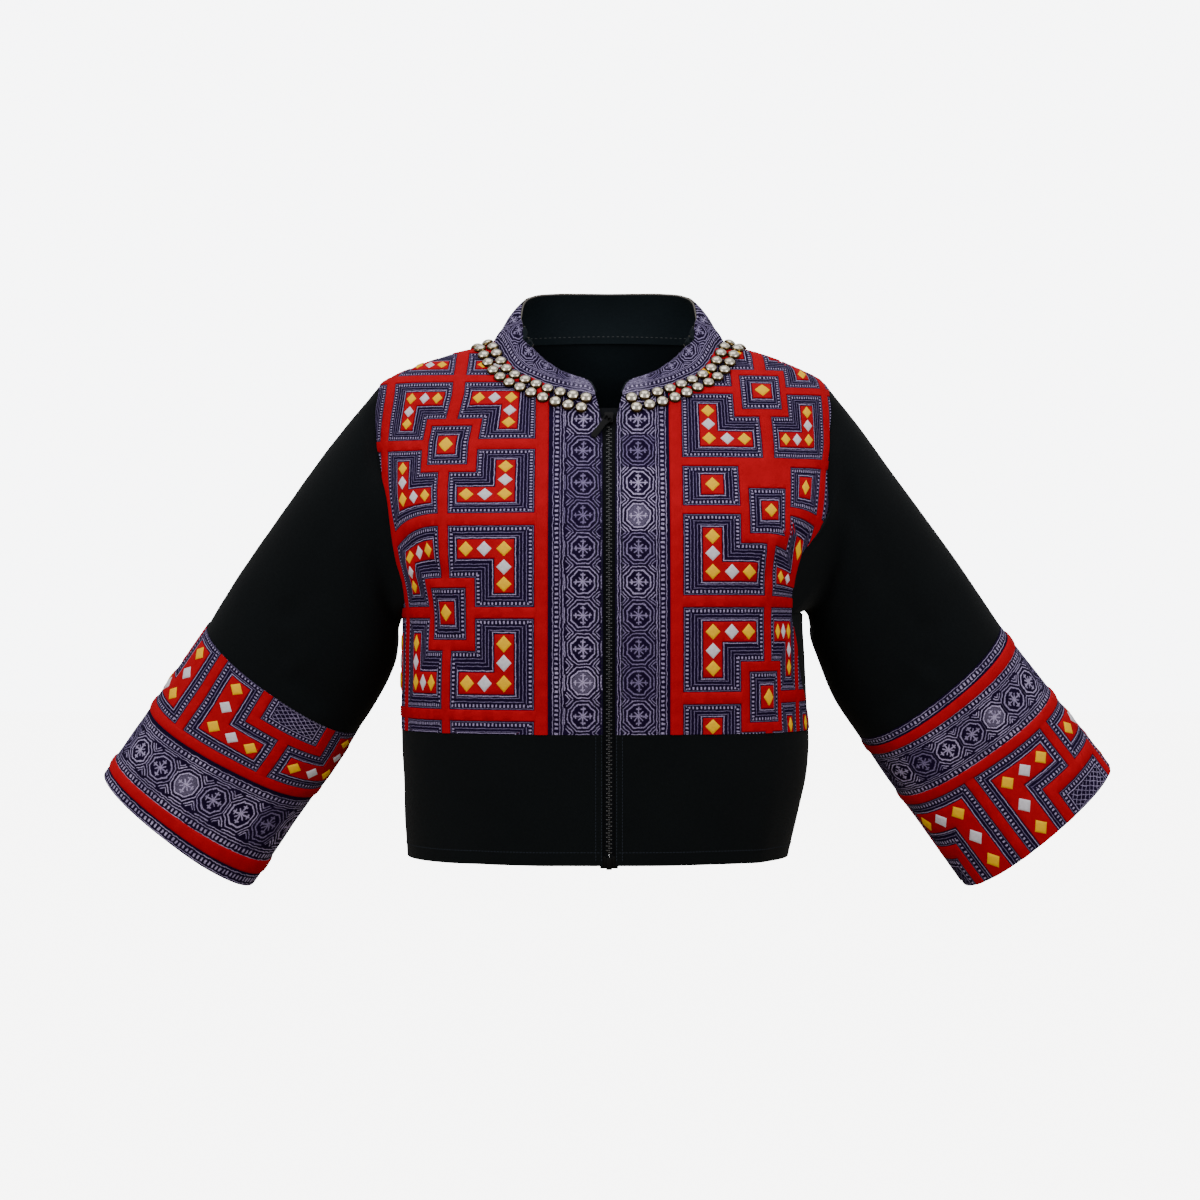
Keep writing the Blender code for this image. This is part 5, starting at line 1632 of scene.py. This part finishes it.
def block(size, centre, bevel, segments=2, taper=1.0):
    """A bevelled block: its sizes are across, up and out. Its lower end may taper."""
    bpy.ops.object.select_all(action="DESELECT")
    bpy.ops.mesh.primitive_cube_add(size=1, location=(0, 0, 0), scale=[length * MM for length in size])
    made = bpy.context.active_object
    bpy.ops.object.transform_apply(location=False, rotation=False, scale=True)
    low_end = [vertex.co.y < 0 for vertex in made.data.vertices]
    pick(made, lambda number: low_end[number])
    bpy.ops.transform.resize(value=(taper, 1, 1))
    bpy.ops.mesh.select_all(action="SELECT")
    bpy.ops.mesh.bevel(offset=bevel * MM, segments=segments)
    bpy.ops.transform.translate(value=[place * MM for place in centre])
    bpy.ops.object.mode_set(mode="OBJECT")
    return made


def finished(model, finish, sharp=180):
    """Gives a model its finish and smooth shading. Edges turned by more than an angle stay sharp."""
    model.data.materials.append(finish)
    model.data.shade_smooth()
    model.data.set_sharp_from_angle(angle=math.radians(sharp))


tooth = block((3.7, 1.55, 2.3), (0, 0, 0), 0.35, segments=1)
finished(tooth, tooth_plastic, 50)
places = []
for number, z in enumerate(np.arange(-80.2, -461, -1.95)):
    x = 0.95 if number % 2 else -0.95
    here, above, beneath = (front_line(0.01, [z + shift], -2.9)[0] for shift in (0, 2, -2))
    out = unit(np.cross((1, 0, 0), unit(above - beneath)))
    places.append((here + np.array([x, 0, 0]), np.array([1.0, 0, 0]), out))
chain = copies("zip_chain", tooth, places)
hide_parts("zip_chain")
bpy.data.objects.remove(tooth)

lobe = block((5.4, 11, 3.6), (0, 0, 0), 0.9, segments=3)
finished(lobe, slider_plastic)
upright = unit(front_line(0.01, [-450], 0)[0] - front_line(0.01, [-470], 0)[0])
out = unit(np.cross((1, 0, 0), upright))
low = front_line(0.01, [-468.6], -2.9)[0]
box = copies("zip_box", lobe, [
    (low + np.array([x, 0, 0]) - upright * drop, np.array([1.0, 0, 0]), out)
    for x, drop in ((0, 1.6), (-5.3, 0.4), (5.3, 0.4))
])
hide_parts("zip_box")
bpy.data.objects.remove(lobe)

# ---------------------------------------------------------------- slider and pull
# The slider is moulded in one with a small bridge on its face; the flat pull tab hangs from
# the bridge by the eye at its head and swings up and down there.

heart = front_line(0.01, [-73.0], 0)[0]
heart -= body_normal(LEFT, angle_at(LEFT, 0.01, -73.0), -73.0) * crease(heart)
heart[0] = 0
lower, upper = (body_point(LEFT, angle_at(LEFT, 0.01, z), z) for z in (-81.0, -65.0))
down = unit((lower - upper) * np.array([0, 1, 1]))
out = np.cross((1, 0, 0), -down)


blocks = [
    block((8.6, 11.0, 3.4), (0, 0, -0.5), 0.7, taper=0.84),
    block((1.7, 5.4, 1.0), (0, 0, 3.7), 0.35),
    block((1.6, 1.0, 2.6), (0, 2.2, 2.2), 0.3),
    block((1.6, 1.0, 2.6), (0, -2.2, 2.2), 0.3),
    block((4.6, 6.0, 2.4), (0, 0, -3.2), 0.3),
    block((8.4, 10.8, 1.1), (0, 0, -4.7), 0.3, taper=0.84),
]
bpy.ops.object.select_all(action="DESELECT")
for made in blocks:
    made.select_set(True)
bpy.context.view_layer.objects.active = blocks[0]
bpy.ops.object.join()
slider_model = bpy.context.active_object
finished(slider_model, slider_plastic, 40)
slider = copies("zip_slider", slider_model, [(heart, np.array([1.0, 0, 0]), out)])
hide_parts("zip_slider")
bpy.data.objects.remove(slider_model)

# The pull's outline, and within it the strip that holds its eye.
PULL_OUTLINE = (
    # below the pivot, half width, half width of the strip
    (-0.6, 3.3, 2.4), (0.6, 3.7, 2.6), (4.8, 3.7, 2.6), (5.6, 3.7, 2.4), (8.8, 2.8, 1.6), (16, 2.8, 1.6),
    (23.6, 2.8, 1.6), (25.3, 2.3, 1.3), (26.0, 1.3, 0.8),
)
bpy.ops.object.select_all(action="DESELECT")
bpy.ops.mesh.primitive_grid_add(x_subdivisions=3, y_subdivisions=8, size=1, location=(0, 0, 0))
pull_model = bpy.context.active_object
spots = [
    (8 - round((vertex.co.y + 0.5) * 8), round((vertex.co.x + 0.5) * 3))
    for vertex in pull_model.data.vertices
]
for row, (place, half, eye) in enumerate(PULL_OUTLINE):
    pick(pull_model, lambda number: spots[number][0] == row and spots[number][1] in (0, 3))
    bpy.ops.transform.resize(value=(2 * half * MM, 1, 1))
    pick(pull_model, lambda number: spots[number][0] == row and spots[number][1] in (1, 2))
    bpy.ops.transform.resize(value=(6 * eye * MM, 1, 1))
    pick(pull_model, lambda number: spots[number][0] == row)
    bpy.ops.transform.translate(value=(0, -place * MM - 0.5 + row / 8, -0.6 * MM))
pick(pull_model, lambda number: spots[number][0] in (1, 2) and spots[number][1] in (1, 2))
bpy.ops.mesh.select_mode(type="FACE")
bpy.ops.mesh.delete(type="FACE")
bpy.ops.mesh.select_all(action="SELECT")
bpy.ops.mesh.extrude_region_move(TRANSFORM_OT_translate={"value": (0, 0, 1.2 * MM)})
bpy.ops.mesh.select_all(action="SELECT")
bpy.ops.mesh.normals_make_consistent(inside=False)
bpy.ops.object.mode_set(mode="OBJECT")
rounded = pull_model.modifiers.new("rounded edges", "BEVEL")
rounded.width = 0.28 * MM
rounded.segments = 2
rounded.limit_method = "ANGLE"
bpy.ops.object.modifier_apply(modifier="rounded edges")
finished(pull_model, slider_plastic, 40)
swing = math.radians(34)
along = math.cos(swing) * down - math.sin(swing) * np.array([1.0, 0, 0])
pull = copies(
    "zip_pull", pull_model, [(heart + out * 2.25, unit(np.cross(out, along)), out)], "zip_pull"
)
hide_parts("zip_pull")
bpy.data.objects.remove(pull_model)

# ---------------------------------------------------------------- stitching
# Machine stitches in cotton thread hold the folded edges beside the zip and the hem; paler
# ones run round the inside of the neck where the facing is caught down.

black_thread = plain_cotton("black thread", (0.010, 0.013, 0.020), (0.030, 0.036, 0.050))
pale_thread = plain_cotton("pale thread", (0.03, 0.033, 0.036), (0.09, 0.095, 0.10))


def stitched(name, rows, finish, stitch, pitch):
    """Short raised stitches along rows, each row being points on the cloth and their ways out."""
    points, faces, flat = [], [], []
    for line, outward in rows:
        length = length_along(line)
        starts = np.arange(pitch / 2, length[-1] - pitch, pitch)
        ends = [
            np.stack([np.interp(starts + shift, length, line[:, axis]) for axis in range(3)], axis=-1)
            for shift in (0, stitch)
        ]
        way = unit(np.stack([np.interp(starts, length, outward[:, axis]) for axis in range(3)], axis=-1))
        across = unit(np.cross(ends[1] - ends[0], way)) * 0.28
        for number in range(len(starts)):
            (p, q), n, w = (end[number] for end in ends), way[number], across[number]
            middle = (p + q) / 2 + n * 0.34
            count = len(points)
            points += [p - w, p + w, middle + w, middle - w, q - w, q + w]
            faces += [(count, count + 1, count + 2, count + 3), (count + 3, count + 2, count + 5, count + 4)]
            flat += [(0, 0), (0.5, 0), (0.5, 1), (0, 1), (0, 2), (0.5, 2)]
    points = np.array(points)
    ways = np.repeat(np.array([[0.0, -1, 0]]), len(points), axis=0)
    faces = face_out(points, np.array(faces), ways)
    made = make_piece(name, points, faces, {"cloth": np.array(flat)}, [finish], np.zeros(len(faces)))
    return made


rows = []
for side in (RIGHT, LEFT):
    z = np.linspace(-62, HEM + 1, 160)
    for inset in (1.1, 6.2):
        base, normal = front_base(side, front_edge(np.maximum(z, -400)) + inset, z)
        rows.append((base + normal * (crease(base)[:, None] + 0.12), normal))
    u = np.linspace(7, float(np.interp(HEM + 12, CHART_Z, chart[side][1])) - 1, 90)
    base, normal = front_base(side, u, np.full(90, HEM + 12.0))
    rows.append((base + normal * (crease(base)[:, None] + 0.12), normal))
stitched("topstitching", rows, black_thread, 2.1, 3.0)
inner_line = collar_grid[1, 58:-58] + collar_in[1, 58:-58] * 3.0
stitched("neck_stitching", [(inner_line, collar_in[1, 58:-58])], pale_thread, 2.2, 4.6)
